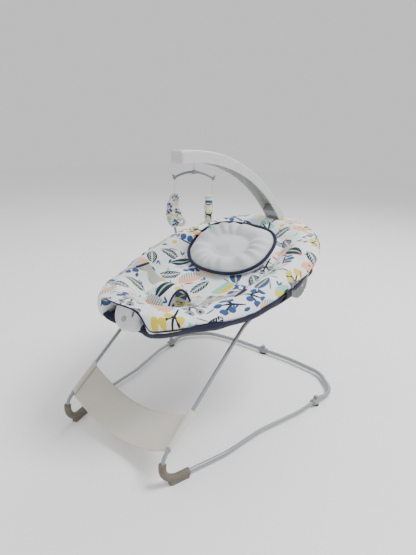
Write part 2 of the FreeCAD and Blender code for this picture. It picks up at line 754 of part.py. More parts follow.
disc_body("power_button", button_place, "Sizes.button_radius", "Sizes.unit_wall + 3.6")
slider_place = unit_place.multiply(Placement(slider_spot + Vector(0, 0, -6), Rotation()))
block_body("volume_slider", slider_place, "4 mm", "5 mm", "Sizes.unit_wall + 5.6", "0.8 mm")
lens_place = unit_place.multiply(Placement(lens_spot + Vector(0, 0, -4), Rotation()))
disc_body("indicator_lens", lens_place, "1.8 mm", "Sizes.unit_wall + 2.1")

# The bracket carries the unit on the foot tube of the seat frame.
foot_tube_front = Vector(0, rim_y, tube_z) + seat_loop_place(False).Rotation.multVec(Vector(0, -tube_foot, 0))
bracket = box_about(foot_tube_front + Vector(0, -2, 1), 30, tube_dia + 10, tube_dia + 8)
bracket = bracket.cut(seat_tube(False, tube_dia + 0.2))
bracket = bracket.cut(box_about(
    unit_place.multVec(box_centre), box_x + 1, box_y + 1, box_z + 1, unit_place.Rotation
))
feature("unit_bracket", bracket)

# --------------------------------------------------------------------------
# Toy arm, its socket on the head tube, and its grip
# --------------------------------------------------------------------------
arm_r = size("arm_radius")
arm_depth = size("arm_depth")
arm_wall = size("arm_wall")
arm_centre = Vector(0, size("arm_centre_y"), size("arm_centre_z"))
base_angle = math.radians(size("arm_base_angle"))
tip_angle = math.radians(size("arm_tip_angle"))


def arm_point(angle, radius):
    """A point in the arm's middle plane: angle is measured from straight up, towards the head."""
    return arm_centre + Vector(0, math.sin(angle), math.cos(angle)) * radius


def arm_slab(outer, inner, start, end, width):
    """A curved bar between two radii and two angles, width across the seat."""
    middle = (start + end) / 2
    edges = [
        Part.Arc(arm_point(start, outer), arm_point(middle, outer), arm_point(end, outer)).toShape(),
        Part.LineSegment(arm_point(end, outer), arm_point(end, inner)).toShape(),
        Part.Arc(arm_point(end, inner), arm_point(middle, inner), arm_point(start, inner)).toShape(),
        Part.LineSegment(arm_point(start, inner), arm_point(start, outer)).toShape(),
    ]
    face = Part.Face(Part.Wire(edges))
    slab = face.extrude(ACROSS * width)
    slab.translate(ACROSS * (-width / 2))
    return slab


def plan_wedge(base_width, tip_width):
    """An upright block that narrows from the arm's base to its tip."""
    y_base = arm_point(base_angle, arm_r).y + 30
    y_tip = arm_point(tip_angle, arm_r).y - 10
    corners = [
        Vector(-base_width / 2, y_base, 0), Vector(base_width / 2, y_base, 0),
        Vector(tip_width / 2, y_tip, 0), Vector(-tip_width / 2, y_tip, 0),
    ]
    return Part.Face(Part.makePolygon(corners + corners[:1])).extrude(UP * 1000)


arm_base = arm_slab(arm_r, arm_r - arm_depth, tip_angle, base_angle, size("arm_width") + 10)
arm_solid = arm_base.common(plan_wedge(size("arm_width"), size("arm_tip_width")))
tip_edges = [edge for edge in arm_solid.Edges if edge.BoundBox.YMax < arm_point(tip_angle, arm_r).y + 2]
arm_solid = arm_solid.makeFillet(7, [edge for edge in tip_edges if edge.BoundBox.XLength < 1])
arm_solid = arm_solid.makeFillet(
    5, [edge for edge in arm_solid.Edges if edge.Length > 300 and edge.BoundBox.ZMax > arm_centre.z + arm_r - 2]
)
wall_turn = 5.0 / arm_r
arm_end_turn = 6.0 / arm_r
arm_inner = arm_slab(
    arm_r - arm_wall, arm_r - arm_depth - 5, tip_angle + wall_turn, base_angle - arm_end_turn, size("arm_width") + 10
)
arm_inner = arm_inner.common(plan_wedge(size("arm_width") - 2 * arm_wall, size("arm_tip_width") - 2 * arm_wall))
arm_shell = arm_solid.cut(arm_inner)
hook_angle = math.asin((size("hook_y") - arm_centre.y) / (arm_r - arm_depth / 2))
hook_middle = arm_point(hook_angle, arm_r - arm_depth + 5)
hook_bar = cylinder_between(hook_middle - ACROSS * 16.5, hook_middle + ACROSS * 16.5, 1.5)
arm_shell = arm_shell.fuse(hook_bar)

tenon_w = size("tenon_width")
tenon_t = size("tenon_thick")
tenon_l = size("tenon_length")
arm_down = Vector(0, math.cos(base_angle), -math.sin(base_angle))
base_middle = arm_point(base_angle, arm_r - arm_depth / 2)
base_turn = Rotation(ACROSS, -math.degrees(base_angle))
tenon = box_about(base_middle + arm_down * (tenon_l / 2 - 1), tenon_w, tenon_l + 2, tenon_t, base_turn)
arm_shell = arm_shell.fuse(tenon)
feature("toy_arm", arm_shell)

GRIP_RIBS = 5
grip_width = size("arm_width") - 2 * arm_wall - 1.0 - 2 * fit
grip_end = base_angle - arm_end_turn - fit / arm_r
grip_start = grip_end - size("grip_length") / arm_r
grip_back = arm_r - arm_wall - size("grip_travel") - fit
grip = arm_slab(grip_back, arm_r - arm_depth + 0.5, grip_start, grip_end, grip_width)
for index in range(GRIP_RIBS + 1):
    x = (index - GRIP_RIBS / 2) * (grip_width / (GRIP_RIBS + 1))
    start = arm_point(grip_end, arm_r - arm_depth) + ACROSS * x + arm_down * 5
    grip = grip.cut(cylinder_between(start, start - arm_down * 32, 2.3))
feature("arm_grip", grip)

socket_wall = size("socket_wall")
socket_l = tenon_l + socket_wall + 1
socket_middle = base_middle + arm_down * (1.0 + socket_l / 2)
socket = box_about(
    socket_middle, tenon_w + 2 * socket_wall + 2 * fit, socket_l, tenon_t + 2 * socket_wall + 2 * fit, base_turn
)
head_tube_end = Vector(0, rim_y, tube_z) + seat_loop_place(True).Rotation.multVec(Vector(0, tube_head, 0))
clamp = cylinder_between(head_tube_end - ACROSS * 13, head_tube_end + ACROSS * 13, tube_dia / 2 + 4)
web = cylinder_between(head_tube_end, socket_middle + arm_down * 4, 9)
socket = socket.fuse([clamp, web])
arm_room = box_about(
    base_middle + arm_down * (tenon_l / 2), tenon_w + 2 * fit, tenon_l + 2 * fit, tenon_t + 2 * fit, base_turn
)
socket = socket.cut(arm_room)
socket = socket.cut(seat_tube(True, tube_dia + 0.2))
arm_body_room = arm_slab(arm_r + 6, arm_r - arm_depth - 6, base_angle - 0.3, base_angle + 0.0005, 80)
socket = socket.cut(arm_body_room)
feature("arm_socket", socket)

# --------------------------------------------------------------------------
# Mobile: hanger, spinner bar, two straps and two soft toys
# --------------------------------------------------------------------------
hang_top = arm_point(hook_angle, arm_r - arm_depth + 5)
ring_r = 3.2
hanger_ring = Part.makeTorus(ring_r, 0.9, hang_top - UP * (ring_r - 1.5 - 0.9 - 0.3), ACROSS)
hanger_foot = hang_top - UP * (size("hanger_length"))
hanger_stem = cylinder_between(hang_top - UP * (2 * ring_r - 1.2), hanger_foot, 1.2)
hanger_knob = Part.makeSphere(2.6, hanger_foot)
hanger = hanger_stem.fuse([hanger_knob, hanger_ring])
feature("mobile_hanger", hanger)

yaw = Rotation(UP, size("spinner_yaw"))
bar_centre = hanger_foot - UP * 1.0
half_bar = size("spinner_length") / 2
rise = size("spinner_rise")
bar_dia = size("spinner_dia")
left_end = Vector(-half_bar, 0, -rise)
right_end = Vector(half_bar, 0, -rise)
bar = rod([Part.Arc(left_end, ORIGIN, right_end).toShape()], bar_dia)
cup = Part.makeCylinder(5.0, 7.5, Vector(0, 0, -3.5))
end_caps = []
for end in (left_end, right_end):
    cap = Part.makeCylinder(4.0, 7, end + Vector(0, -3.5, 0), ALONG)
    way_out = math.copysign(1.0, end.x)
    ear = Part.makeCone(2.2, 0.8, 6, end + Vector(2.0 * way_out, 0, 2), Vector(0.5 * way_out, 0, 1))
    end_caps += [cap, ear]
bar = bar.fuse([cup] + end_caps)
bar = bar.cut([Part.makeSphere(2.6 + fit, Vector(0, 0, 1.0)), Part.makeCylinder(1.2 + fit + 0.4, 10)])
for end in (left_end, right_end):
    bar = bar.cut(box_about(end + Vector(0, 0, -3), 5, size("strap_width") + 2 * fit, 10))
pin_r = 0.9
for end in (left_end, right_end):
    bar = bar.fuse(Part.makeCylinder(pin_r, 7, end + Vector(0, -3.5, -1.5), ALONG))
feature("spinner_bar", bar, Placement(bar_centre, yaw))

strap_l = size("strap_length")
strap_w = size("strap_width")
toy_h = size("toy_height")
toy_w = size("toy_width")
toy_t = size("toy_thick")


def toy_strap(end):
    """A ribbon loop that hangs from a pin of the spinner bar."""
    pin = end + Vector(0, 0, -1.5)
    band = box_about(pin + Vector(0, 0, -strap_l / 2 + 0.2), 1.6, strap_w, strap_l)
    eye = Part.makeCylinder(1.9, strap_w, pin + Vector(0, -strap_w / 2, 0), ALONG)
    return band.fuse(eye).cut(Part.makeCylinder(pin_r + 0.3, 20, pin + Vector(0, -10, 0), ALONG))


def plush(points, thickness, spot, turn):
    """A flat stuffed shape: its outline lies in the XZ plane."""
    outline = [Vector(x, 0, z) for x, z in points]
    curve = Part.BSplineCurve()
    curve.interpolate(outline, PeriodicFlag=True)
    body = Part.Face(Part.Wire(curve.toShape())).extrude(ALONG * thickness)
    body.translate(ALONG * (-thickness / 2))
    body.Placement = Placement(spot, Rotation(UP, turn))
    return body


left_toy_points = [
    (0.1, 0), (0.45, -0.1), (0.35, -0.3), (0.25, -0.55), (0.3, -0.8),
    (0.0, -1), (-0.35, -0.85), (-0.5, -0.5), (-0.35, -0.15),
]
right_toy_points = [
    (0, 0), (0.45, -0.2), (0.4, -0.5), (0.55, -0.75),
    (0, -1), (-0.55, -0.75), (-0.4, -0.5), (-0.45, -0.2),
]
left_spot = left_end + Vector(0, 0, -strap_l - 2.4)
right_spot = right_end + Vector(0, 0, -strap_l - 2.4)
bar_place = Placement(bar_centre, yaw)
feature("toy_strap_left", toy_strap(left_end), bar_place)
feature("toy_strap_right", toy_strap(right_end), bar_place)
left_toy = plush([(x * toy_w, z * toy_h) for x, z in left_toy_points], toy_t, left_spot, 0)
right_toy = plush([(x * toy_w, z * toy_h * 0.8) for x, z in right_toy_points], toy_t * 1.3, right_spot, 90)
feature("soft_toy_left", left_toy, bar_place)
feature("soft_toy_right", right_toy, bar_place)

# --------------------------------------------------------------------------
# Restraint: crotch strap, buckle, tongues and waist straps
# --------------------------------------------------------------------------
buckle_spot = Vector(0, size("buckle_y"), size("buckle_z"))
buckle_w = size("buckle_width")
buckle_l = size("buckle_length")
buckle_t = size("buckle_thick")
housing = box_about(buckle_spot, buckle_w, buckle_l, buckle_t)
housing = housing.makeFillet(3.5, [edge for edge in housing.Edges])
mouth = box_about(buckle_spot, buckle_w + 4, 16 + 2 * fit, 5 + 2 * fit)
core = box_about(buckle_spot, 4, buckle_l, buckle_t)
housing = housing.cut(mouth.cut(core))
for index in range(5):
    groove_y = buckle_spot.y - 8 + 4 * index
    start = Vector(-buckle_w, groove_y, buckle_spot.z + buckle_t / 2 + 0.5)
    housing = housing.cut(cylinder_between(start, start + ACROSS * 2 * buckle_w, 1.1))
button_room = Part.makeCylinder(5 + fit, 6, buckle_spot + Vector(0, 0, buckle_t / 2 - 3.6))
housing = housing.cut(button_room)
feature("buckle_housing", housing)
disc_body(
    "buckle_button", Placement(buckle_spot + Vector(0, 0, buckle_t / 2 - 1.6), Rotation()), "5 mm", "2.4 mm"
)
tongue_plate = box_about(buckle_spot + ACROSS * 17.0, 28, 16, 5)
tongue_bar = box_about(buckle_spot + ACROSS * 36.0, 14, size("webbing_width") + 8, 5)
tongue_slot = box_about(buckle_spot + ACROSS * 36.5, 5, size("webbing_width") + 1, 9)
tongue = tongue_plate.fuse(tongue_bar).cut(tongue_slot)
both_sides("buckle_tongue", tongue)

webbing_w = size("webbing_width")
webbing_t = size("webbing_thick")
strap_start = buckle_spot + ACROSS * (43.5 + size("tongue_travel") + soft_gap)
strap_points = [strap_start, strap_start + Vector(36, 0, 8), strap_start + Vector(58, 2, 32)]
strap_edges = bent_path(strap_points, [30])
strap_face = [
    strap_points[0] + Vector(0, sy * webbing_w / 2, sz * webbing_t / 2)
    for sy, sz in ((-1, -1), (1, -1), (1, 1), (-1, 1))
]
waist_strap = Part.Wire(strap_edges).makePipeShell(
    [Part.makePolygon(strap_face + strap_face[:1])], True, False
)
both_sides("waist_strap", waist_strap)
crotch_points = [
    buckle_spot + Vector(0, -74, -16), buckle_spot + Vector(0, -52, 14),
    buckle_spot + Vector(0, -28, 12), buckle_spot + Vector(0, -buckle_l / 2 - 3, 0),
]
feature("crotch_strap", ribbon(crotch_points, [14, 14], 40.0, 5.0))

# --------------------------------------------------------------------------
# Head insert
# --------------------------------------------------------------------------
insert = Part.makeSphere(1.0)
stretch = FreeCAD.Matrix()
stretch.scale(size("insert_half_width"), size("insert_half_length"), size("insert_half_thick"))
insert = insert.transformGeometry(stretch)
insert_place = Placement(
    Vector(0, size("insert_y"), size("insert_z")), Rotation(ACROSS, size("insert_slope"))
)
feature("head_insert", insert, insert_place)

# --------------------------------------------------------------------------
# Leg sling between the risers
# --------------------------------------------------------------------------
sling_l = size("sling_length")
sleeve_start = riser_start + riser_heading * 2.0
sleeve_end = sleeve_start + riser_heading * sling_l
sleeve_r = size("sling_sleeve_dia") / 2
sleeves = []
bores = []
for sign in (1, -1):
    start = Vector(sign * sleeve_start.x, sleeve_start.y, sleeve_start.z)
    end = Vector(sign * sleeve_end.x, sleeve_end.y, sleeve_end.z)
    sleeves.append(cylinder_between(start, end, sleeve_r))
    bores.append(cylinder_between(start - riser_heading * 5, end + riser_heading * 5, wire / 2 + fit))
sag = size("sling_sag")
edge_x = hook_x - sleeve_r + 1.0
sheet_t = size("sling_thick")
sag_low = sleeve_start + Vector(-hook_x, 0, -sag)


def sag_arc(drop):
    """The sling's curve, as an arc that hangs between the two sleeves."""
    left = Vector(-edge_x, sleeve_start.y, sleeve_start.z - drop)
    right = Vector(edge_x, sleeve_start.y, sleeve_start.z - drop)
    return Part.Arc(left, sag_low - UP * drop, right).toShape()


top_arc = sag_arc(0.0)
low_arc = sag_arc(sheet_t)
sides = [
    Part.LineSegment(Vector(sign * edge_x, sleeve_start.y, sleeve_start.z),
                     Vector(sign * edge_x, sleeve_start.y, sleeve_start.z - sheet_t)).toShape()
    for sign in (-1, 1)
]
profile = Part.Face(Part.Wire(Part.sortEdges([top_arc, low_arc] + sides)[0]))
panel = profile.extrude(riser_heading * sling_l)
sling = panel.fuse(sleeves).cut(bores)
feature("leg_sling", sling)

# --------------------------------------------------------------------------
# Seat pad and its underside cover, opened for the hard pieces
# --------------------------------------------------------------------------
riser_room = rod([edge.copy() for edge in riser_run], wire + 2 * soft_gap)
hub_room = half_disc(hub_in, cover_out + 20, hub_r, soft_gap)
unit_room = Part.makeCylinder(unit_r + soft_gap, unit_depth + 5 + soft_gap, Vector(0, 0, -unit_depth - 5))
unit_room.Placement = unit_place
box_room = box_about(
    unit_place.multVec(box_centre), box_x + 2 * soft_gap, box_y + 2 * soft_gap, box_z + 2 * soft_gap,
    unit_place.Rotation
)
front_room = Part.makeBox(
    2 * unit_r + 2 * soft_gap, 70, 80,
    Vector(-unit_r - soft_gap, size("unit_face_y") - 60, size("unit_face_z") - 62)
)
unit_room = unit_room.fuse([box_room, front_room])
bracket_room = box_about(foot_tube_front + Vector(0, -2, 1), 33, tube_dia + 13, tube_dia + 11)
arm_slot = arm_slab(
    arm_r + soft_gap, arm_r - arm_depth - soft_gap, base_angle - 0.35, base_angle + 0.002,
    size("arm_width") + 2 * soft_gap
)
socket_room = box_about(
    socket_middle, tenon_w + 2 * socket_wall + 4, socket_l + 4, tenon_t + 2 * socket_wall + 4, base_turn
)
clamp_room = cylinder_between(head_tube_end - ACROSS * 15, head_tube_end + ACROSS * 15, tube_dia / 2 + 6)
web_room = cylinder_between(head_tube_end, socket_middle + arm_down * 5, 11)
room = [riser_room, mirrored(riser_room), hub_room, mirrored(hub_room), unit_room, bracket_room]
room += [arm_slot, socket_room, clamp_room, web_room]
pad = pad_outer.cut(bowl).cut(room).cut([tube_pocket(True), tube_pocket(False)])
pad = max(pad.Solids, key=lambda solid: solid.Volume)
feature("seat_pad", pad)
skin = skin_outer.cut(skin_inner).cut(room)
skin = max(skin.Solids, key=lambda solid: solid.Volume)
feature("underside_cover", skin)

# --------------------------------------------------------------------------
# Check and write
# --------------------------------------------------------------------------
doc.recompute()
for obj in doc.Objects:
    if "Invalid" in obj.State or "Error" in obj.State:
        raise RuntimeError("%s did not recompute: %s" % (obj.Label, obj.State))
for obj in nodes:
    if obj.Shape.isNull() or not obj.Shape.isValid() or obj.Shape.Volume <= 0:
        raise RuntimeError("%s has no valid shape" % obj.Label)

os.makedirs("parts", exist_ok=True)
for obj in nodes:
    obj.Shape.exportStep("parts/%s.step" % obj.Label)
print("wrote %d sub-parts" % len(nodes))
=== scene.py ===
# %% [markdown]
# # A baby bouncer seat
# The rigid pieces come from the CAD model and keep their shape. This lesson gives them
# finishes, and makes the soft pieces anew: the padded seat, the navy cover below it, the
# head insert, the restraint, the leg sling and the two hanging toys.

# %% Load the frame
import math

import bmesh
import bpy
import numpy as np
from mathutils import Matrix, Vector, noise


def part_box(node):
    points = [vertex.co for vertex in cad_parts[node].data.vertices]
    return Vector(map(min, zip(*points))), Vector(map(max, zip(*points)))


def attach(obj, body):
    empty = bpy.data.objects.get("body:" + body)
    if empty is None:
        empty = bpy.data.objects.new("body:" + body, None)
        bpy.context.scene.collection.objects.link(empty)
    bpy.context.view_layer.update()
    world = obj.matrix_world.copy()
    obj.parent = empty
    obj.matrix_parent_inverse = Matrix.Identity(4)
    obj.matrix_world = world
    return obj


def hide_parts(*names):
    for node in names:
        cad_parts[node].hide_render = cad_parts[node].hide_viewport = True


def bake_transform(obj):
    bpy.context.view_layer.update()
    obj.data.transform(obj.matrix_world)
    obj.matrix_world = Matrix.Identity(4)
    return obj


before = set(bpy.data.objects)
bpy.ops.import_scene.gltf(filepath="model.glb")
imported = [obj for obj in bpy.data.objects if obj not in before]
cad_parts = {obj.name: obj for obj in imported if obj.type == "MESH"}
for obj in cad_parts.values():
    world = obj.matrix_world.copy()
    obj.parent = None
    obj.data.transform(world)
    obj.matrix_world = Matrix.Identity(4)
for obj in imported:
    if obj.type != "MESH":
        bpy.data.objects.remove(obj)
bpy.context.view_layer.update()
MM = 0.001

# %% [markdown]
# ## The camera
# It stands to the right of the foot end, a little above the seat, and looks down on it.
# Its place was found by matching the corners of the wire frame.

# %% Camera
CAMERA_SPOT = Vector((0.6187, -0.8015, 0.6398))
CAMERA_TURN = math.radians(38.0)
CAMERA_DIP = math.radians(18.1)
CAMERA_ROLL = math.radians(-1.6)
forward = Vector((
    -math.sin(CAMERA_TURN) * math.cos(CAMERA_DIP),
    math.cos(CAMERA_TURN) * math.cos(CAMERA_DIP),
    -math.sin(CAMERA_DIP),
))
right = Vector((math.cos(CAMERA_TURN), math.sin(CAMERA_TURN), 0.0))
down = forward.cross(right)
rolled_right = right * math.cos(CAMERA_ROLL) + down * math.sin(CAMERA_ROLL)
rolled_down = down * math.cos(CAMERA_ROLL) - right * math.sin(CAMERA_ROLL)
camera_data = bpy.data.cameras.new("view_camera")
camera_data.lens = 28.93
camera_data.sensor_width = 36.0
camera_data.clip_start = 0.01
camera = bpy.data.objects.new("view_camera", camera_data)
axes = Matrix((rolled_right, -rolled_down, -forward)).transposed().to_4x4()
camera.matrix_world = Matrix.Translation(CAMERA_SPOT) @ axes
bpy.context.collection.objects.link(camera)
bpy.context.scene.camera = camera

# %% [markdown]
# ## Tools for finishes
# A colour is written as people write it for the web, and turned to the linear numbers the
# renderer adds up. One function adds a node, sets it and wires it.

# %% Node helpers
def linear(hex_colour):
    """Web colour to linear red, green, blue and full alpha."""
    parts = [int(hex_colour[i:i + 2], 16) / 255 for i in (1, 3, 5)]
    curve = [p / 12.92 if p <= 0.04045 else ((p + 0.055) / 1.055) ** 2.4 for p in parts]
    return (*curve, 1.0)


def add(tree, kind, sockets=None, **settings):
    """Add a node: sockets maps an input to a value or to the output that feeds it."""
    node = tree.nodes.new(kind)
    for name, value in settings.items():
        setattr(node, name, value)
    for name, value in (sockets or {}).items():
        if isinstance(value, bpy.types.NodeSocket):
            tree.links.new(value, node.inputs[name])
        else:
            node.inputs[name].default_value = value
    return node


def new_finish(name):
    """An empty material: its tree, its shader and its object coordinates."""
    material = bpy.data.materials.new(name)
    material.use_nodes = True
    tree = material.node_tree
    tree.nodes.clear()
    shader = add(tree, "ShaderNodeBsdfPrincipled")
    add(tree, "ShaderNodeOutputMaterial", {"Surface": shader.outputs["BSDF"]})
    place = add(tree, "ShaderNodeTexCoord").outputs["Object"]
    return material, tree, shader, place


def hard_finish(name, colour, dark, roughness, grain_mm, bump_mm, metallic=0.0, coat=0.0):
    """A moulded, painted or rubbery surface: fine grain in height, broad drift in colour."""
    material, tree, shader, place = new_finish(name)
    drift = add(tree, "ShaderNodeTexNoise", {"Vector": place, "Scale": 18.0, "Detail": 4.0})
    tint = add(tree, "ShaderNodeMix", {
        "Factor": drift.outputs["Fac"], "A": linear(colour), "B": linear(dark)}, data_type="RGBA")
    tree.links.new(tint.outputs["Result"], shader.inputs["Base Color"])
    grain = add(tree, "ShaderNodeTexNoise", {
        "Vector": place, "Scale": 1 / (grain_mm * MM), "Detail": 2.0})
    rough = add(tree, "ShaderNodeMapRange", {
        "Value": drift.outputs["Fac"], "To Min": roughness - 0.06, "To Max": roughness + 0.06})
    tree.links.new(rough.outputs["Result"], shader.inputs["Roughness"])
    bump = add(tree, "ShaderNodeBump", {
        "Height": grain.outputs["Fac"], "Distance": bump_mm * MM, "Strength": 0.6})
    tree.links.new(bump.outputs["Normal"], shader.inputs["Normal"])
    shader.inputs["Metallic"].default_value = metallic
    shader.inputs["Coat Weight"].default_value = coat
    return material


print("camera and node helpers ready")
# %% [markdown]
# ## Finishes of the hard pieces
# Powder coat on the wires has a faint orange-peel skin. Moulded ABS and polypropylene are
# smooth with a slight grain. Rubber is dull and grainy. Each comment says what to look for.

# %% Hard finishes
# Powder-coated spring steel: satin, almost white silver, with a skin you can just feel.
powder_coat = hard_finish("powder_coated_steel", "#9DA0A5", "#8B8E94", 0.36, 1.6, 0.05, metallic=0.35)
# Painted tube of the rear frame: the same paint on a wider pipe.
painted_tube = hard_finish("painted_steel_tube", "#A0A3A8", "#8E9197", 0.38, 1.8, 0.05, metallic=0.35)
# Thermoplastic rubber sleeve on the front hooks: dull taupe, scuffed a little lighter.
taupe_rubber = hard_finish("moulded_taupe_rubber", "#756E63", "#5F5950", 0.72, 0.9, 0.12)
# Black rubber pads and elastic: no shine at all.
dark_rubber = hard_finish("dark_rubber", "#26272A", "#1B1C1E", 0.80, 0.9, 0.12)
# Moulded polypropylene connectors, mid grey.
grey_polypropylene = hard_finish("grey_polypropylene", "#929498", "#83858A", 0.48, 1.2, 0.06)
# Side hubs: the same moulding in a darker grey.
hub_polypropylene = hard_finish("hub_polypropylene", "#7F8084", "#727377", 0.46, 1.2, 0.06)
# Glossy white ABS of the soothing unit and the toy arm.
white_abs = hard_finish("white_abs", "#DCDDDE", "#CFD0D2", 0.30, 2.2, 0.03, coat=0.2)
# Arm moulding: the same white plastic, painted a darker grey as shade so that it stands apart from the white
# backdrop.
arm_abs_painted_shade = hard_finish("arm_abs_painted_shade", "#C9CACA", "#BBBCBC", 0.34, 2.2, 0.04, coat=0.15)
# Pale grey grip and button.
pale_grey_abs = hard_finish("pale_grey_abs", "#A3A5A9", "#94969A", 0.42, 1.5, 0.05)
# Mid grey of the mobile's bar and the slider.
mid_grey_abs = hard_finish("mid_grey_abs", "#85888D", "#75787D", 0.42, 1.5, 0.05)
# Zinc-plated screws and the motor's can.
plated_steel = hard_finish("zinc_plated_steel", "#B6B8B8", "#9C9E9F", 0.30, 0.6, 0.02, metallic=1.0)
# Brass weight of the motor.
brass = hard_finish("turned_brass", "#B79A5B", "#A08549", 0.30, 0.6, 0.02, metallic=1.0)
# Solder mask of the circuit board.
solder_mask = hard_finish("green_solder_mask", "#1E5A38", "#174A2D", 0.32, 1.0, 0.03)
# Cells in their printed jacket, plain here.
cell_jacket = hard_finish("cell_jacket", "#3B3D42", "#303236", 0.30, 2.0, 0.02, metallic=0.4)
# Clear light guide of the indicator.
light_guide = hard_finish("light_guide", "#DDE6D8", "#CFDCCB", 0.18, 3.0, 0.01, coat=0.4)

HARD = {
    powder_coat: ("floor_wire_left", "floor_wire_right", "riser_left", "riser_right"),
    painted_tube: ("rear_tube_left", "rear_tube_right", "seat_tube_head", "seat_tube_foot"),
    taupe_rubber: ("front_foot_left", "front_foot_right"),
    dark_rubber: ("connector_pads", "speaker"),
    grey_polypropylene: ("connector_left", "connector_right", "connector_centre", "unit_bracket",
                         "unit_case_back", "battery_door", "arm_socket"),
    hub_polypropylene: ("hub_left", "hub_right", "hub_cover_left", "hub_cover_right"),
    white_abs: ("unit_case_front", "buckle_housing", "buckle_tongue_left", "buckle_tongue_right",
                "mobile_hanger"),
    arm_abs_painted_shade: ("toy_arm",),
    pale_grey_abs: ("arm_grip", "power_button", "buckle_button"),
    mid_grey_abs: ("spinner_bar", "volume_slider"),
    plated_steel: ("connector_screws", "hub_screws", "unit_screws", "battery_contacts", "vibration_motor"),
    brass: ("motor_weight",),
    solder_mask: ("circuit_board",),
    cell_jacket: ("battery_cells",),
    light_guide: ("indicator_lens",),
}
for material, names in HARD.items():
    for name in names:
        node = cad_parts[name]
        node.data.materials.clear()
        node.data.materials.append(material)
        for face in node.data.polygons:
            face.use_smooth = True
print("hard finishes:", len(HARD))

# %% [markdown]
# ## Fabric finishes
# Every cloth here is polyester. Its threads are far finer than a render can show, so each
# weave is drawn at about a millimetre. The seat's cloth also carries a print of leaves,
# berries and flowers, worked out in the cloth's own flat coordinates so that it follows the
# padding round. A repeat is one cell of a Voronoi pattern: its centre places a motif, its
# random colour turns the motif and picks its kind.

# %% Weave
def weave(tree, shader, coordinates, thread_mm, depth_mm, strength=0.5):
    """Plain weave: two sets of parallel ridges, crossed, as bump."""
    ridges = []
    for direction in ("X", "Y"):
        wave = add(tree, "ShaderNodeTexWave", {
            "Vector": coordinates, "Scale": 1 / (thread_mm * MM) / 2, "Distortion": 0.4,
            "Detail": 1.0}, bands_direction=direction)
        ridges.append(wave.outputs["Fac"])
    crossed = add(tree, "ShaderNodeMath", {0: ridges[0], 1: ridges[1]}, operation="MAXIMUM")
    bump = add(tree, "ShaderNodeBump", {
        "Height": crossed.outputs[0], "Distance": depth_mm * MM, "Strength": strength})
    tree.links.new(bump.outputs["Normal"], shader.inputs["Normal"])
    return crossed.outputs[0]


def plain_cloth(name, colour, dark, thread_mm, depth_mm, sheen):
    """One-colour cloth: weave, soft sheen, and colour that drifts at random and darkens between the threads
    as painted shade.
    """
    material, tree, shader, place = new_finish(name)
    threads = weave(tree, shader, place, thread_mm, depth_mm)
    drift = add(tree, "ShaderNodeTexNoise", {"Vector": place, "Scale": 14.0, "Detail": 3.0})
    # Between the threads the colour falls to the dark tone as painted shade; the noise drift is random tone.
    both = add(tree, "ShaderNodeMath", {0: threads, 1: drift.outputs["Fac"]}, operation="MULTIPLY")
    tint = add(tree, "ShaderNodeMix", {
        "Factor": both.outputs[0], "A": linear(dark), "B": linear(colour)}, data_type="RGBA")
    tree.links.new(tint.outputs["Result"], shader.inputs["Base Color"])
    shader.inputs["Roughness"].default_value = 0.85
    shader.inputs["Sheen Weight"].default_value = sheen
    shader.inputs["Sheen Roughness"].default_value = 0.5
    return material


navy_cloth = plain_cloth("navy_polyester", "#08133A", "#050C27", 1.4, 0.3, 0.04)
navy_binding = plain_cloth("navy_binding_tape", "#0A1640", "#070F2E", 0.9, 0.2, 0.06)
insert_cloth = plain_cloth("pale_grey_microfibre", "#D6DADC", "#C3C8CB", 1.0, 0.15, 0.35)
gusset_cloth = plain_cloth("peach_cloth", "#E8C09C", "#D8AE88", 1.0, 0.2, 0.2)
webbing_cloth = plain_cloth("grey_webbing", "#BDBDB5", "#A6A69D", 1.6, 0.45, 0.1)
sling_cloth = plain_cloth("natural_canvas", "#E2DED4", "#CFC9BC", 1.3, 0.35, 0.1)
ribbon_cloth = plain_cloth("white_ribbon", "#DFDFDA", "#CFCFC8", 0.8, 0.2, 0.2)
plush_cloth = plain_cloth("cream_plush", "#D6D4C8", "#C4C2B5", 1.2, 0.3, 0.3)
# Seam lines: a real stitched seam, drawn in a darker grey as painted shade in the seam's crease.
seam_and_painted_shade = plain_cloth("grey_seam_and_painted_shade", "#A9AEB3", "#959A9F", 0.8, 0.2, 0.1)
teal_ribbon = plain_cloth("teal_ribbon", "#6FA3A0", "#5A8D8A", 0.8, 0.2, 0.2)
red_tag_cloth = plain_cloth("red_tag_satin", "#C8402F", "#B03526", 0.8, 0.15, 0.3)

# %% The print
def oval(tree, spot, centre, radii, turn=0.0):
    """An ellipse in a motif's own coordinates: 1 inside."""
    moved = add(tree, "ShaderNodeMapping", {
        "Vector": spot, "Location": (*centre, 0.0), "Rotation": (0.0, 0.0, math.radians(turn)),
        "Scale": (*radii, 1.0)}, vector_type="TEXTURE")
    reach = add(tree, "ShaderNodeVectorMath", {0: moved.outputs[0]}, operation="LENGTH")
    inside = add(tree, "ShaderNodeMath", {0: reach.outputs["Value"], 1: 1.0}, operation="LESS_THAN")
    return inside.outputs[0]


def leaf(tree, folded, width):
    """A pointed leaf along X: with Y folded over, it is one circle whose centre lies off the axis."""
    circle = (1 + width * width) / (2 * width)
    return oval(tree, folded, (0.0, width - circle), (circle, circle))


def stripes(tree, spot, turn, period, share):
    """Parallel stripes, turned; share is the part of each period that is coloured."""
    moved = add(tree, "ShaderNodeMapping", {"Vector": spot, "Rotation": (0.0, 0.0, math.radians(turn))})
    wave = add(tree, "ShaderNodeTexWave", {"Vector": moved.outputs[0], "Scale": 0.314 / period})
    inside = add(tree, "ShaderNodeMath", {0: wave.outputs["Fac"], 1: 1 - share}, operation="GREATER_THAN")
    return inside.outputs[0]


def joined(tree, *masks, operation="MAXIMUM"):
    """Any of the shapes; with MULTIPLY, only where all of them overlap."""
    result = masks[0]
    for mask in masks[1:]:
        result = add(tree, "ShaderNodeMath", {0: result, 1: mask}, operation=operation).outputs[0]
    return result


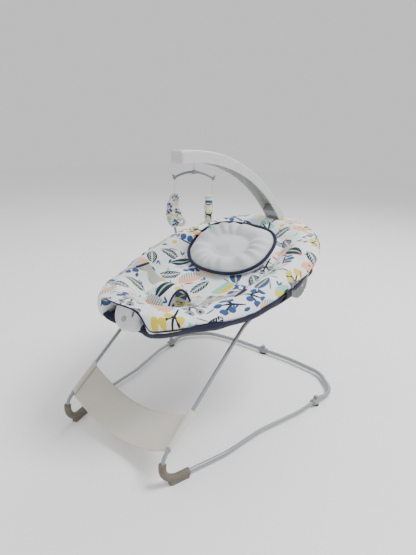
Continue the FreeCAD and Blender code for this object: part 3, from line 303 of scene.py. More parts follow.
def dyed(tree, under, colour, mask, dice, low, high):
    """Lay a colour over the cloth inside the mask, in cells whose dice falls from low to high."""
    chosen = add(tree, "ShaderNodeMath", {
        0: dice, 1: (low + high) / 2, 2: (high - low) / 2}, operation="COMPARE")
    both = add(tree, "ShaderNodeMath", {0: mask, 1: chosen.outputs[0]}, operation="MULTIPLY")
    return add(tree, "ShaderNodeMix", {
        "Factor": both.outputs[0], "A": under, "B": linear(colour)}, data_type="RGBA").outputs["Result"]


def motif_cells(tree, flat, spacing_mm, seed, size_mm, randomness):
    """Split the cloth into cells: each has its own turned coordinates, one unit per size, and a dice."""
    shifted = add(tree, "ShaderNodeVectorMath", {0: flat, 1: (seed, seed * 0.7, 0)}, operation="ADD")
    cells = add(tree, "ShaderNodeTexVoronoi", {
        "Vector": shifted.outputs[0], "Scale": 1 / (spacing_mm * MM), "Randomness": randomness},
        voronoi_dimensions="2D")
    local = add(tree, "ShaderNodeVectorMath", {
        0: shifted.outputs[0], 1: cells.outputs["Position"]}, operation="SUBTRACT")
    dice = add(tree, "ShaderNodeSeparateColor", {"Color": cells.outputs["Color"]})
    turn = add(tree, "ShaderNodeMath", {0: dice.outputs["Red"], 1: 6.283}, operation="MULTIPLY")
    turned = add(tree, "ShaderNodeVectorRotate", {
        "Vector": local.outputs[0], "Angle": turn.outputs[0]}, rotation_type="Z_AXIS")
    spot = add(tree, "ShaderNodeVectorMath", {
        0: turned.outputs[0], "Scale": 1 / (size_mm * MM)}, operation="SCALE").outputs[0]
    parts = add(tree, "ShaderNodeSeparateXYZ", {"Vector": spot})
    fold = add(tree, "ShaderNodeMath", {0: parts.outputs["Y"]}, operation="ABSOLUTE")
    folded = add(tree, "ShaderNodeCombineXYZ", {"X": parts.outputs["X"], "Y": fold.outputs[0]}).outputs[0]
    return spot, folded, dice.outputs["Green"]


NAVY, BLUE, MINT, PEACH = "#070F2A", "#204883", "#86CDBB", "#EDB389"
YELLOW, GREY, CORAL, PALE = "#D8C63C", "#8C9098", "#CC3B26", "#CFE3DF"


def printed_cloth(name, map_name, scale=1.0, ground="#E6E8EA"):
    """White jersey printed with leaves, twigs of berries, domes and small marks."""
    material, tree, shader, place = new_finish(name)
    flat = add(tree, "ShaderNodeUVMap", uv_map=map_name).outputs["UV"]
    colour = linear(ground)

    # Small marks first, so that the large motifs lie over them.
    spot, folded, dice = motif_cells(tree, flat, 30.0 * scale, 5.9, 8.5 * scale, 0.7)
    colour = dyed(tree, colour, BLUE, oval(tree, folded, (0.0, 0.35), (0.8, 0.26), 25), dice, 0.0, 0.22)
    colour = dyed(tree, colour, YELLOW, oval(tree, spot, (0.0, 0.0), (0.85, 0.85)), dice, 0.22, 0.34)
    colour = dyed(tree, colour, CORAL, oval(tree, spot, (0.0, 0.0), (1.3, 0.3)), dice, 0.34, 0.39)
    colour = dyed(tree, colour, BLUE, leaf(tree, folded, 0.5), dice, 0.39, 0.60)
    colour = dyed(tree, colour, NAVY, oval(tree, spot, (0.0, 0.0), (1.5, 0.16)), dice, 0.60, 0.74)
    colour = dyed(tree, colour, MINT, leaf(tree, folded, 0.6), dice, 0.74, 0.82)

    # One large motif to a cell.
    spot, folded, dice = motif_cells(tree, flat, 54.0 * scale, 1.3, 29.0 * scale, 0.42)
    blade = leaf(tree, folded, 0.46)
    veins = joined(
        tree, stripes(tree, folded, 50, 0.17, 0.14), leaf(tree, folded, 0.34), operation="MULTIPLY")
    rib = oval(tree, spot, (0.0, 0.0), (0.9, 0.07))
    for shade, line, marks, low, high in (
        (NAVY, PALE, veins, 0.0, 0.13), (NAVY, MINT, rib, 0.13, 0.20), (BLUE, YELLOW, rib, 0.20, 0.30),
    ):
        colour = dyed(tree, colour, shade, blade, dice, low, high)
        colour = dyed(tree, colour, line, marks, dice, low, high)
        colour = dyed(tree, colour, line, rib, dice, low, high)

    # Twigs: a stem that forks, with a berry at each tip.
    stem = oval(tree, spot, (-0.1, 0.0), (1.1, 0.085))
    forks = joined(tree, oval(tree, folded, (0.25, 0.3), (0.55, 0.09), 42), stem)
    berries = joined(
        tree, oval(tree, folded, (0.66, 0.66), (0.32, 0.29)), oval(tree, folded, (0.02, 0.46), (0.27, 0.27)),
        oval(tree, spot, (1.0, 0.0), (0.33, 0.28)))
    seeds = joined(
        tree, oval(tree, folded, (0.66, 0.66), (0.10, 0.10)), oval(tree, spot, (1.0, 0.0), (0.1, 0.1)))
    colour = dyed(tree, colour, NAVY, forks, dice, 0.30, 0.66)
    for shade, low, high in (
        (GREY, 0.30, 0.42), (YELLOW, 0.42, 0.50), (BLUE, 0.50, 0.60), (MINT, 0.60, 0.66),
    ):
        colour = dyed(tree, colour, shade, berries, dice, low, high)
    colour = dyed(tree, colour, NAVY, seeds, dice, 0.30, 0.42)
    colour = dyed(tree, colour, NAVY, forks, dice, 0.60, 0.66)

    # Domes with a cap of a second colour, some of them striped or dotted.
    body = joined(
        tree, oval(tree, spot, (0.0, 0.0), (0.95, 0.85)), oval(tree, spot, (0.0, 2.2), (3.0, 2.5)),
        operation="MULTIPLY")
    cap = joined(tree, body, oval(tree, spot, (0.0, 1.2), (1.6, 1.0)), operation="MULTIPLY")
    lines = joined(tree, cap, stripes(tree, spot, 0, 0.2, 0.4), operation="MULTIPLY")
    dots = joined(
        tree, oval(tree, folded, (0.3, 0.25), (0.08, 0.08)), oval(tree, folded, (-0.3, 0.3), (0.1, 0.06)))
    for shade, top, low, high in (
        (PEACH, GREY, 0.66, 0.74), (MINT, YELLOW, 0.74, 0.80),
        (PEACH, PEACH, 0.80, 0.86), (YELLOW, MINT, 0.86, 0.90),
    ):
        colour = dyed(tree, colour, shade, body, dice, low, high)
        colour = dyed(tree, colour, top, cap, dice, low, high)
    colour = dyed(tree, colour, "#E2E4E6", lines, dice, 0.66, 0.74)
    colour = dyed(tree, colour, NAVY, dots, dice, 0.80, 0.86)

    # The rest of the cells hold three blue berries side by side on a thin stem.
    row = joined(
        tree, oval(tree, spot, (-0.62, 0.2), (0.30, 0.36)), oval(tree, spot, (0.05, 0.25), (0.30, 0.36)),
        oval(tree, spot, (0.70, 0.15), (0.28, 0.34)))
    colour = dyed(tree, colour, BLUE, row, dice, 0.90, 1.01)
    colour = dyed(tree, colour, NAVY, oval(tree, spot, (0.0, -0.22), (1.05, 0.085)), dice, 0.90, 1.01)

    threads = weave(tree, shader, flat, 1.1, 0.18, 0.4)
    shaded = add(tree, "ShaderNodeMix", {
        "Factor": 0.10, "A": colour, "B": threads}, data_type="RGBA", blend_type="MULTIPLY")
    tree.links.new(shaded.outputs["Result"], shader.inputs["Base Color"])
    shader.inputs["Roughness"].default_value = 0.82
    shader.inputs["Sheen Weight"].default_value = 0.12
    shader.inputs["Sheen Roughness"].default_value = 0.45
    return material


seat_print = printed_cloth("printed_jersey", "cloth")
print("fabric finishes ready")
# %% [markdown]
# ## The seat's outline
# In plan the rim is an egg: two half ellipses that share their widest line. From the side it
# is level at the foot end and climbs to the head end. Every soft piece of the seat is laid
# out from this one line.

# %% Egg outline
RIM_Y = 0.041                      # widest line, measured along the seat
RIM_HALF_WIDTH = 0.214
RIM_FOOT, RIM_HEAD = 0.330, 0.280
FOOT_Z, HEAD_Z = 0.301, 0.402
LEVEL_END = RIM_Y - 0.233           # the rim is lowest here, and climbs towards the head end
FOOT_LIFT, FOOT_RUN = 0.012, 0.097  # it also lifts a little over its last run to the foot end


def rim_z(y):
    """Height of the rim's outer edge."""
    share = (y - LEVEL_END) / (RIM_Y + RIM_HEAD - LEVEL_END)
    if share < 0:
        return FOOT_Z + FOOT_LIFT * ((y - LEVEL_END) / FOOT_RUN) ** 2
    share = min(share, 1.0)
    return FOOT_Z + (HEAD_Z - FOOT_Z) * share * share * (3 - 2 * share)


def egg(turn, inset):
    """Plan position on the outline drawn in by inset: turn 0 is the right side, a quarter the head end."""
    reach = (RIM_HEAD if math.sin(turn) > 0 else RIM_FOOT) - inset
    return (RIM_HALF_WIDTH - inset) * math.cos(turn), RIM_Y + reach * math.sin(turn)


STATIONS = (-0.985, -0.9, -0.7, -0.4, 0.0, 0.4, 0.7, 0.9, 0.985)
BOWL_DEPTHS = (0.012, 0.022, 0.038, 0.037, 0.014, -0.010, 0.000, 0.008, 0.012)
HULL_DEPTHS = (0.060, 0.064, 0.056, 0.068, 0.088, 0.072, 0.060, 0.054, 0.046)
SEAM_DROP = 0.024                  # how far the print wraps down beside the soothing unit


def seam_drop(turn):
    """The seam between print and navy is at the rim's edge, and falls towards the foot end."""
    share = min(max((math.degrees(math.asin(max(0.0, -math.sin(turn)))) - 45) / 33, 0.0), 1.0)
    return SEAM_DROP * share * share * (3 - 2 * share)


def depth_at(y, depths):
    """Depth below the rim edge on the seat's middle line."""
    reach = RIM_HEAD if y > RIM_Y else RIM_FOOT
    return float(np.interp((y - RIM_Y) / reach, STATIONS, depths))


# %% [markdown]
# ## A tool for round soft forms
# A closed cushion can be drawn as rings: start with one ring of points, extrude its edges
# again and again, and put each new ring where the form wants it. The same tool lays the cloth
# out flat: each point's distance along the surface from the middle becomes its place on the
# cloth, so that a print or weave follows the padding without stretching much.

# %% Rings
def ringed(name, rows, segments, place, cloth=None, open_end=False):
    """A form of extruded rings, from pole to pole or to an open rim. place(turn, row) gives a point."""
    bm = bmesh.new()
    turn_layer = bm.verts.layers.float.new("turn")
    row_layer = bm.verts.layers.float.new("row")
    bmesh.ops.create_circle(bm, segments=segments, radius=1.0)
    bm.verts.ensure_lookup_table()
    for point in bm.verts:
        point[turn_layer] = math.atan2(point.co.y, point.co.x)
    ring_edges = bm.edges[:]
    ring = bm.verts[:]
    first_ring = ring
    for count, row in enumerate(rows):
        if count:
            grown = bmesh.ops.extrude_edge_only(bm, edges=ring_edges)["geom"]
            ring = [item for item in grown if isinstance(item, bmesh.types.BMVert)]
            ring_edges = [item for item in grown if isinstance(item, bmesh.types.BMEdge)]
        for point in ring:
            point[row_layer] = row
            point.co = place(point[turn_layer], row)
    for end in (first_ring,) if open_end else (first_ring, ring):
        middle = sum((point.co for point in end), Vector()) / len(end)
        bmesh.ops.pointmerge(bm, verts=end, merge_co=middle)
    bmesh.ops.recalc_face_normals(bm, faces=bm.faces)
    if cloth:
        lay_flat(bm, turn_layer, row_layer, cloth)
    return to_piece(bm, name)


def lay_flat(bm, turn_layer, row_layer, cloth):
    """Give each face corner its place on the flat cloth, in metres."""
    flat = bm.loops.layers.uv.new("cloth")
    for face in bm.faces:
        for corner in face.loops:
            corner[flat].uv = cloth(corner.vert[turn_layer], corner.vert[row_layer], corner.vert.co)


def to_piece(bm, name):
    """Make the bmesh an object of the scene, smooth-shaded."""
    mesh = bpy.data.meshes.new(name)
    for face in bm.faces:
        face.smooth = True
    bm.to_mesh(mesh)
    bm.free()
    piece = bpy.data.objects.new(name, mesh)
    bpy.context.collection.objects.link(piece)
    return piece


def dress(piece, material, body, slot, *nodes):
    """Give a piece its finish, its body if it has one, and hide the CAD nodes it stands for; slot is not
    used.
    """
    piece.data.materials.clear()
    piece.data.materials.append(material)
    if body:
        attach(piece, body)
    if nodes:
        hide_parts(*nodes)
    return piece


SWELL_FRAMES = 20


def puff(piece, pressure, most):
    """Swell a closed mesh with cloth pressure; no point ends further than most from its start."""
    scene = bpy.context.scene
    before = np.array([point.co[:] for point in piece.data.vertices])
    cloth = piece.modifiers.new("swell", "CLOTH")
    cloth.settings.quality = 4
    cloth.settings.mass = 0.3
    cloth.settings.use_pressure = True
    cloth.settings.uniform_pressure_force = pressure
    cloth.settings.effector_weights.gravity = 0.0
    cloth.collision_settings.use_collision = False
    cloth.point_cache.frame_start = 1
    cloth.point_cache.frame_end = SWELL_FRAMES
    for step in range(1, SWELL_FRAMES + 1):
        scene.frame_set(step)
    graph = bpy.context.evaluated_depsgraph_get()
    swollen = piece.evaluated_get(graph)
    after = np.array([point.co[:] for point in swollen.data.vertices])
    piece.modifiers.remove(cloth)
    scene.frame_set(1)
    move = after - before
    length = np.linalg.norm(move, axis=1, keepdims=True)
    move *= np.minimum(1.0, most / np.maximum(length, 1e-9))
    piece.data.vertices.foreach_set("co", (before + move).ravel())
    piece.data.update()
    print(piece.name, "swelled by up to %.1f mm" % (1000 * float(np.minimum(length, most).max())))


def crease(piece, folds):
    """Move points along their normals: folds lists (size of the fold, height, seed), in metres."""
    normals = [point.normal.copy() for point in piece.data.vertices]
    for point, normal in zip(piece.data.vertices, normals):
        height = 0.0
        for length, rise, seed in folds:
            height += rise * noise.noise(point.co / length + Vector((seed, seed, seed)))
        point.co += normal * height


def refine(piece, levels=1):
    """Finish with subdivision, the same in view and render."""
    finer = piece.modifiers.new("smooth", "SUBSURF")
    finer.levels = finer.render_levels = levels


print("rim runs from", round(rim_z(-0.289), 3), "to", round(rim_z(0.321), 3))

# %% [markdown]
# ## The padded seat
# On the real seat a wadded cover is laced over a steel loop: a fat roll all round, and a
# hollow for the baby inside it. The profile below goes from under the roll, over its crown
# and down into the hollow.

# %% Seat pad
# Inset from the rim's outline and rise above its edge, in millimetres, from underneath to the bowl.
ROLL = ((70, -24), (40, -22), (14, -17), (3, -10), (-2, -4), (-4, 1), (-1, 7), (8, 13),
        (22, 17), (38, 17), (54, 13), (68, 6), (80, -3), (92, -13))
BOWL_EDGE = 0.092                  # inset where the roll ends and the bowl begins
BOWL_START = 0.011                 # fall of the bowl's edge below the rim's edge
PAD_THICK = 0.022
UNIT_HALF = 0.066                  # half width of the notch over the soothing unit
LIP_RISE = 0.015                   # the roll's lip over the unit, above the rim's edge


def roll_profile(share):
    """Inset and rise part way along the roll, on a smooth line through ROLL."""
    position = share * (len(ROLL) - 1)
    index = min(int(position), len(ROLL) - 2)
    between_points = position - index
    before, here = ROLL[max(index - 1, 0)], ROLL[index]
    there, after = ROLL[index + 1], ROLL[min(index + 2, len(ROLL) - 1)]
    result = []
    for p0, p1, p2, p3 in zip(before, here, there, after):
        result.append(0.5 * MM * (
            2 * p1 + (p2 - p0) * between_points
            + (2 * p0 - 5 * p1 + 4 * p2 - p3) * between_points ** 2
            + (3 * p1 - p0 - 3 * p2 + p3) * between_points ** 3))
    return result


def bowl_height(x, y, sunk):
    """Height of the seat inside the roll: across the seat it is a shallow arc."""
    reach = (RIM_HEAD if y > RIM_Y else RIM_FOOT) - BOWL_EDGE
    along = min(((y - RIM_Y) / reach) ** 2, 0.98)
    across = min((x / (RIM_HALF_WIDTH - BOWL_EDGE)) ** 2 / (1 - along), 1.0)
    return rim_z(y) - BOWL_START - (depth_at(y, BOWL_DEPTHS) - BOWL_START) * (1 - across) - sunk


def notch(turn, x):
    """One over the soothing unit, fading to nothing beside it."""
    if math.sin(turn) > 0:
        return 0.0
    return max(0.0, 1 - (abs(x) / UNIT_HALF) ** 6)


def seat_point(turn, row):
    """Rows 0..1 are the bowl's underside, 1..2 the roll, 2..3 the bowl's top."""
    if 1 <= row <= 2:
        inset, rise = roll_profile(row - 1)
        x, y = egg(turn, inset)
        cover = notch(turn, x)
        low = min(max((0.006 - rise) / 0.010, 0.0), 1.0)
        rise -= seam_drop(turn) * low * (1 - cover)
        if rise < LIP_RISE and inset < 0.06:
            rise += cover * (LIP_RISE - rise)
        return Vector((x, y, rim_z(y) + rise))
    share = row if row < 1 else 3 - row
    first = 0.070 if row < 1 else BOWL_EDGE
    edge_x, edge_y = egg(turn, first)
    x, y = edge_x * share, RIM_Y + (edge_y - RIM_Y) * share
    if row < 1:
        top = bowl_height(x, y, PAD_THICK)
        low = rim_z(y) - 0.024 - seam_drop(turn)
        blend = share ** 6
        return Vector((x, y, top * (1 - blend) + low * blend))
    return Vector((x, y, bowl_height(x, y, 0.0)))


roll_lengths = [0.0]
for share in np.linspace(1, 0, 66)[1:]:
    here, last = roll_profile(share), roll_profile(share + 1 / 65)
    roll_lengths.append(roll_lengths[-1] + math.hypot(here[0] - last[0], here[1] - last[1]))


def seat_cloth(turn, row, point):
    """Flat place: direction from the middle, times the distance along the surface."""
    plan = Vector((point.x, point.y - RIM_Y))
    if row > 2:
        return point.x, point.y
    edge_x, edge_y = egg(turn, BOWL_EDGE)
    share = max(row - 1, 0.0)
    travelled = float(np.interp(1 - share, np.linspace(0, 1, 66), roll_lengths)) + max(1 - row, 0.0) * 0.1
    stretch = (math.hypot(edge_x, edge_y - RIM_Y) + travelled) / max(plan.length, 1e-6)
    return plan.x * stretch, plan.y * stretch + RIM_Y


seat_rows = [*np.linspace(0.06, 0.94, 12), *(1 + np.linspace(0, 1, 34)), *(2 + np.linspace(0.05, 0.97, 20))]
seat_pad = ringed("seat_pad_cover", seat_rows, 200, seat_point, seat_cloth)
puff(seat_pad, 2.0, 0.003)
crease(seat_pad, ((0.085, 0.0050, 7.0), (0.040, 0.0035, 3.0), (0.016, 0.0012, 9.0)))
refine(seat_pad)
dress(seat_pad, seat_print, "seat", "pad_fabric", "seat_pad")
print("seat pad points:", len(seat_pad.data.vertices))

# %% [markdown]
# ## The cover below
# Navy cloth closes the seat from below. It hangs from the same rim like a shallow boat, and
# leaves room round the soothing unit.

# %% Underside
UNIT_CLEAR = 0.048                 # half width that the hull leaves free round the soothing unit
UNIT_BACK = -0.236


def hull_point(turn, row):
    """Row 1 is the rim, row 0 the keel; past 1 the wall turns up inside the roll."""
    share = min(row, 1.0)
    edge_x, edge_y = egg(turn, 0.001 + max(0.0, row - 1.0) * 0.03)
    x, y = edge_x * share, RIM_Y + (edge_y - RIM_Y) * share
    start = 0.003 + seam_drop(turn) * share
    fall = max(0.0, depth_at(y, HULL_DEPTHS) - start)
    boxy = 2.6 + 3.0 * seam_drop(turn) / SEAM_DROP
    z = rim_z(y) - start - fall * math.sqrt(max(0.0, 1 - share ** boxy)) + max(0.0, row - 1.0) * 0.02
    if y < UNIT_BACK and abs(x) < UNIT_CLEAR:
        free = min(1.0, 4 * (1 - abs(x) / UNIT_CLEAR))
        y += (UNIT_BACK - y) * free
    return Vector((x, y, z))


hull_rows = [math.sin(math.radians(angle)) for angle in np.linspace(3, 90, 30)] + [1.2, 1.4]
hull = ringed("underside_cloth", hull_rows, 200, hull_point, open_end=True)
crease(hull, ((0.07, 0.004, 5.0), (0.02, 0.0010, 2.0)))
wall = hull.modifiers.new("cloth_thickness", "SOLIDIFY")
wall.thickness = 0.0015
refine(hull)
dress(hull, navy_cloth, "seat", "underside_fabric", "underside_cover")


# %% [markdown]
# ## Piping and straps
# Piping is a cord sewn into an edge: a round tube along a smooth line. Webbing is a flat
# band: one short edge of points, extruded along its line, then given thickness.

# %% Tubes and bands
def tube(name, points, radius, closed=False, smooth=12):
    """A round tube along a NURBS line, turned into a mesh."""
    data = bpy.data.curves.new(name, "CURVE")
    data.dimensions = "3D"
    data.bevel_depth = radius
    data.bevel_resolution = 3
    data.resolution_u = smooth
    data.use_fill_caps = True
    line = data.splines.new("NURBS")
    line.points.add(len(points) - 1)
    for point, spot in zip(line.points, points):
        point.co = (*spot, 1.0)
    line.use_cyclic_u = closed
    line.use_endpoint_u = not closed
    line.order_u = 4
    holder = bpy.data.objects.new(name + "_line", data)
    bpy.context.collection.objects.link(holder)
    mesh = bpy.data.meshes.new_from_object(holder.evaluated_get(bpy.context.evaluated_depsgraph_get()))
    bpy.data.objects.remove(holder)
    mesh.name = name
    for face in mesh.polygons:
        face.use_smooth = True
    piece = bpy.data.objects.new(name, mesh)
    bpy.context.collection.objects.link(piece)
    return piece


def smooth_line(points, steps):
    """Catmull-Rom through the points, as a list of vectors."""
    points = [Vector(point) for point in points]
    line = []
    for index in range(len(points) - 1):
        before, here = points[max(index - 1, 0)], points[index]
        there, after = points[index + 1], points[min(index + 2, len(points) - 1)]
        for step in range(steps):
            t = step / steps
            line.append(0.5 * (2 * here + (there - before) * t
                        + (2 * before - 5 * here + 4 * there - after) * t ** 2
                        + (3 * here - before - 3 * there + after) * t ** 3))
    line.append(points[-1])
    return line


def band(name, points, side, width, thick, steps=8, across=6, crown=0.0):
    """A flat strap along points; side(share) is its width's direction."""
    line = smooth_line(points, steps)
    bm = bmesh.new()
    turn_layer = bm.verts.layers.float.new("turn")
    row_layer = bm.verts.layers.float.new("row")
    row = [bm.verts.new((0, 0, 0)) for _ in range(across + 1)]
    edges = [bm.edges.new(pair) for pair in zip(row, row[1:])]
    for index, point in enumerate(row):
        point[turn_layer] = index / across - 0.5
    travelled = 0.0
    for count, spot in enumerate(line):
        share = count / (len(line) - 1)
        if count:
            grown = bmesh.ops.extrude_edge_only(bm, edges=edges)["geom"]
            row = [item for item in grown if isinstance(item, bmesh.types.BMVert)]
            edges = [item for item in grown if isinstance(item, bmesh.types.BMEdge)]
            travelled += (spot - line[count - 1]).length
        direction = Vector(side(share)).normalized()
        ahead = (line[min(count + 1, len(line) - 1)] - line[max(count - 1, 0)]).normalized()
        up = direction.cross(ahead).normalized()
        for point in row:
            out = point[turn_layer]
            point.co = spot + direction * (out * width) + up * (crown * (1 - (2 * out) ** 2))
            point[row_layer] = travelled
    lay_flat(bm, turn_layer, row_layer, lambda turn, distance, point: (turn * width, distance))
    bmesh.ops.recalc_face_normals(bm, faces=bm.faces)
    piece = to_piece(bm, name)
    wall = piece.modifiers.new("thickness", "SOLIDIFY")
    wall.thickness = thick
    wall.offset = 0.0
    return piece


edge_points = []
for index in range(96):
    turn = 2 * math.pi * index / 96
    edge_points.append(seat_point(turn, 1 + 3.9 / (len(ROLL) - 1)) + Vector((0, 0, -0.001)))
edge_piping = tube("edge_piping", edge_points, 0.0017, closed=True, smooth=4)
dress(edge_piping, navy_binding, "seat", "underside_fabric")

# Elastic loops hold the cover to each hub, one in front of it and one behind.
for side, word in ((1, "right"), (-1, "left")):
    for place_word, turn_degrees in (("front", -9.5), ("rear", 9.5)):
        x, y = egg(math.radians(turn_degrees), 0.0)
        loop_points = [Vector((side * (x + out), y, rim_z(y) + up)) for out, up in (
            (-0.001, 0.004), (0.0035, -0.003), (0.0030, -0.012), (-0.004, -0.022), (-0.012, -0.028))]
        loop_name = "hub_loop_%s_%s" % (place_word, word)
        loop = band(loop_name, loop_points, lambda share: (0, 1, 0), 0.011, 0.0018, steps=4)
        dress(loop, dark_rubber, "seat", "pad_rubber")

# %% [markdown]
# ## The head insert
# A padded oval of pale cloth with a navy bound edge. A second seam runs round its middle,
# and the cloth between the two seams gathers in soft creases that point at the centre. Its
# side towards the hips shows a peach gusset.

# %% Head insert
INSERT_SPOT = Vector((0.0, 0.0725, 0.370))
INSERT_SLOPE = Matrix.Rotation(math.radians(31.5), 4, "X")
INSERT_HALF = (0.111, 0.0865)
HEAD_SEAM = 0.46                  # where the inner seam runs, as a share of the way out


def insert_outline(turn):
    """Half width and half length of the rounded outline at a turn."""
    power = 3.0
    radius = (abs(math.cos(turn)) ** power + abs(math.sin(turn)) ** power) ** (-1 / power)
    narrow = 1 - 0.32 * max(0.0, -math.sin(turn)) ** 2
    return radius * math.cos(turn) * INSERT_HALF[0] * narrow, radius * math.sin(turn) * INSERT_HALF[1]


def insert_height(turn, share):
    """Top of the insert above its own plane."""
    ring = middle = 0.0
    if share > HEAD_SEAM:
        ring = math.sin(math.pi * min(1.0, (share - HEAD_SEAM) / (1 - HEAD_SEAM))) ** 0.7
    elif share < HEAD_SEAM:
        middle = 0.5 + 0.5 * math.cos(math.pi * share / HEAD_SEAM)
    gathers = 0.0042 * ring * math.sin(turn * 15 + 2.0 * math.sin(turn * 3)) * (1.5 - share)
    return 0.003 + 0.013 * ring + 0.008 * middle + gathers


def insert_point(turn, row):
    """Rows 0..1 are the underside, 1..2 the top from the edge to the middle."""
    share = row if row <= 1 else 2 - row
    x, y = insert_outline(turn)
    height = -0.012 if row < 1 else insert_height(turn, share) * min(1.0, (1 - share) * 14 + 0.15)
    if row < 1:
        share *= 0.97
        height -= 0.004
    return INSERT_SPOT + INSERT_SLOPE @ Vector((x * share, y * share, height))


def insert_cloth_place(turn, row, point):
    """The insert is nearly flat, so its plan is its cloth."""
    return point.x, point.y


insert_rows = list(np.linspace(0.1, 0.99, 8)) + list(np.linspace(1.0, 1.96, 30))
head_insert = ringed("head_insert_pad", insert_rows, 150, insert_point, insert_cloth_place)
puff(head_insert, 2.0, 0.003)
crease(head_insert, ((0.02, 0.0008, 6.0),))
refine(head_insert)
dress(head_insert, insert_cloth, "seat", "insert_fabric", "head_insert")

binding_points = []
seam_points = []
for index in range(72):
    turn = 2 * math.pi * index / 72
    x, y = insert_outline(turn)
    binding_points.append(INSERT_SPOT + INSERT_SLOPE @ Vector((x * 1.005, y * 1.005, 0.0015)))
    seam_points.append(INSERT_SPOT + INSERT_SLOPE @ Vector((x * HEAD_SEAM, y * HEAD_SEAM, 0.0036)))
insert_binding = tube("insert_binding", binding_points, 0.0040, closed=True, smooth=4)
dress(insert_binding, navy_binding, "seat", "insert_fabric")
# The inner seam is a thin tube whose darker grey is painted shade along its crease.
head_seam = tube("head_seam", seam_points, 0.0011, closed=True, smooth=4)
dress(head_seam, seam_and_painted_shade, "seat", "insert_fabric")


def gusset_side(share):
    """The gusset stands on edge round the insert."""
    return (0.0, -0.2, 1.0)


gusset_points = []
for index in range(25):
    turn = math.radians(155 + 120 * index / 24)
    x, y = insert_outline(turn)
    gusset_points.append(INSERT_SPOT + INSERT_SLOPE @ Vector((x * 0.985, y * 0.985, -0.010)))
insert_gusset = band("insert_gusset", gusset_points, gusset_side, 0.018, 0.0012, steps=3)
dress(insert_gusset, gusset_cloth, "seat", "insert_fabric")

tag_points = [INSERT_SPOT + INSERT_SLOPE @ Vector(spot) for spot in (
    (-0.118, 0.012, 0.002), (-0.112, 0.013, 0.009), (-0.104, 0.014, 0.012), (-0.096, 0.014, 0.013))]
red_tag = band("red_tag", tag_points, lambda share: (0, 1, 0.3), 0.016, 0.0008, steps=4)
dress(red_tag, red_tag_cloth, "seat", "insert_fabric")

# %% [markdown]
# ## The restraint
# A padded crotch piece stands up between the legs and ends at the buckle. A waist strap comes
# up through a bound slot in the padding on each side, and plugs in through its tongue. Webbing
# is thin and stiff along its edges, so a band with a little thickness is enough.

# %% Waist straps and crotch piece
BUCKLE = Vector((0.0, -0.092, 0.284))


def level(share):
    """Straps lie across the seat, so their width runs along it."""
    return (0.0, 1.0, 0.25 - 0.2 * share)


def seat_top(x, y):
    """Height of the padded seat at a place in plan, on the roll or in the bowl."""
    reach = RIM_HEAD if y > RIM_Y else RIM_FOOT
    inset = RIM_HALF_WIDTH * math.sqrt(max(0.0, 1 - ((y - RIM_Y) / reach) ** 2)) - abs(x)
    if inset > BOWL_EDGE:
        return bowl_height(x, y, 0.0)
    insets, rises = zip(*ROLL[5:])
    return rim_z(y) + MM * float(np.interp(inset / MM, insets, rises))


STRAP_LIFT = 0.0055                # the webbing lies this far above the padding
for side, word in ((1, "right"), (-1, "left")):
    strap_points = [Vector((side * 0.050, -0.092, 0.2850)), Vector((side * 0.066, -0.092, 0.2885))]
    for x, y in ((0.084, -0.091), (0.102, -0.089), (0.120, -0.087), (0.136, -0.085)):
        strap_points.append(Vector((side * x, y, seat_top(x, y) + STRAP_LIFT)))
    strap_points.append(Vector((side * 0.149, -0.083, seat_top(0.149, -0.083) - 0.006)))
    strap = band("waist_webbing_" + word, strap_points, level, 0.032, 0.0018, steps=6, across=8)
    dress(strap, webbing_cloth, None, "webbing_grey", "waist_strap_" + word)
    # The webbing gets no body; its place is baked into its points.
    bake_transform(strap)
    slot_points = [Vector((side * x, -0.084, seat_top(x, -0.084) + 0.0035)) for x in (0.139, 0.143, 0.147)]
    strap_slot = band("strap_slot_" + word, slot_points, level, 0.040, 0.002, steps=3)
    dress(strap_slot, navy_binding, "seat", "pad_fabric")

crotch_line = [BUCKLE + Vector((0.0, along, up)) for along, up in (
    (-0.092, -0.020), (-0.086, 0.012), (-0.070, 0.033), (-0.048, 0.038), (-0.029, 0.024), (-0.017, 0.004))]
crotch_piece = band("crotch_pad", crotch_line, lambda share: (1, 0, 0), 0.060, 0.010, across=8, crown=0.004)
refine(crotch_piece, 2)
dress(crotch_piece, seat_print, "seat", "crotch_fabric", "crotch_strap")
for side in (1, -1):
    points = [spot + Vector((side * 0.030, 0, 0)) for spot in smooth_line(crotch_line, 3)]
    binding = tube("crotch_binding_%s" % ("right" if side > 0 else "left"), points, 0.0026, smooth=4)
    dress(binding, navy_binding, "seat", "crotch_fabric")

# %% [markdown]
# ## The leg sling
# A sheet of canvas hangs between the risers. A sleeve is sewn at each side, and the wire runs
# through it, so the sheet's own profile is drawn once across the seat and extruded up the wires.

# %% Leg sling
SLOPE = math.radians(36.5)
UP_RISER = Vector((0, math.cos(SLOPE), math.sin(SLOPE)))
RISER_X = 0.146
SLEEVE_RADIUS = 0.0066
SLEEVE_SHARE = 0.12                # share of the points that each sleeve takes
hook_centre = Vector((RISER_X, -0.2815, 0.047))
riser_foot = hook_centre + Vector((0, -math.sin(SLOPE), math.cos(SLOPE))) * 0.036 + UP_RISER * 0.002
SLING_RUN = 0.080
SAG = 0.046


def sling_profile(share):
    """Across the sling: a loop round one wire, the sag, and a loop round the other."""
    if share < SLEEVE_SHARE:
        angle = math.radians(-20 + 320 * share / SLEEVE_SHARE)
        return -RISER_X + SLEEVE_RADIUS * math.cos(angle), SLEEVE_RADIUS * math.sin(angle)
    if share > 1 - SLEEVE_SHARE:
        angle = math.radians(-20 + 320 * (1 - share) / SLEEVE_SHARE)
        return RISER_X - SLEEVE_RADIUS * math.cos(angle), SLEEVE_RADIUS * math.sin(angle)
    across = (share - SLEEVE_SHARE) / (1 - 2 * SLEEVE_SHARE) * 2 - 1
    edge = RISER_X - SLEEVE_RADIUS * 0.6
    return across * edge, -0.004 - (SAG - 0.004) * (1 - across * across)


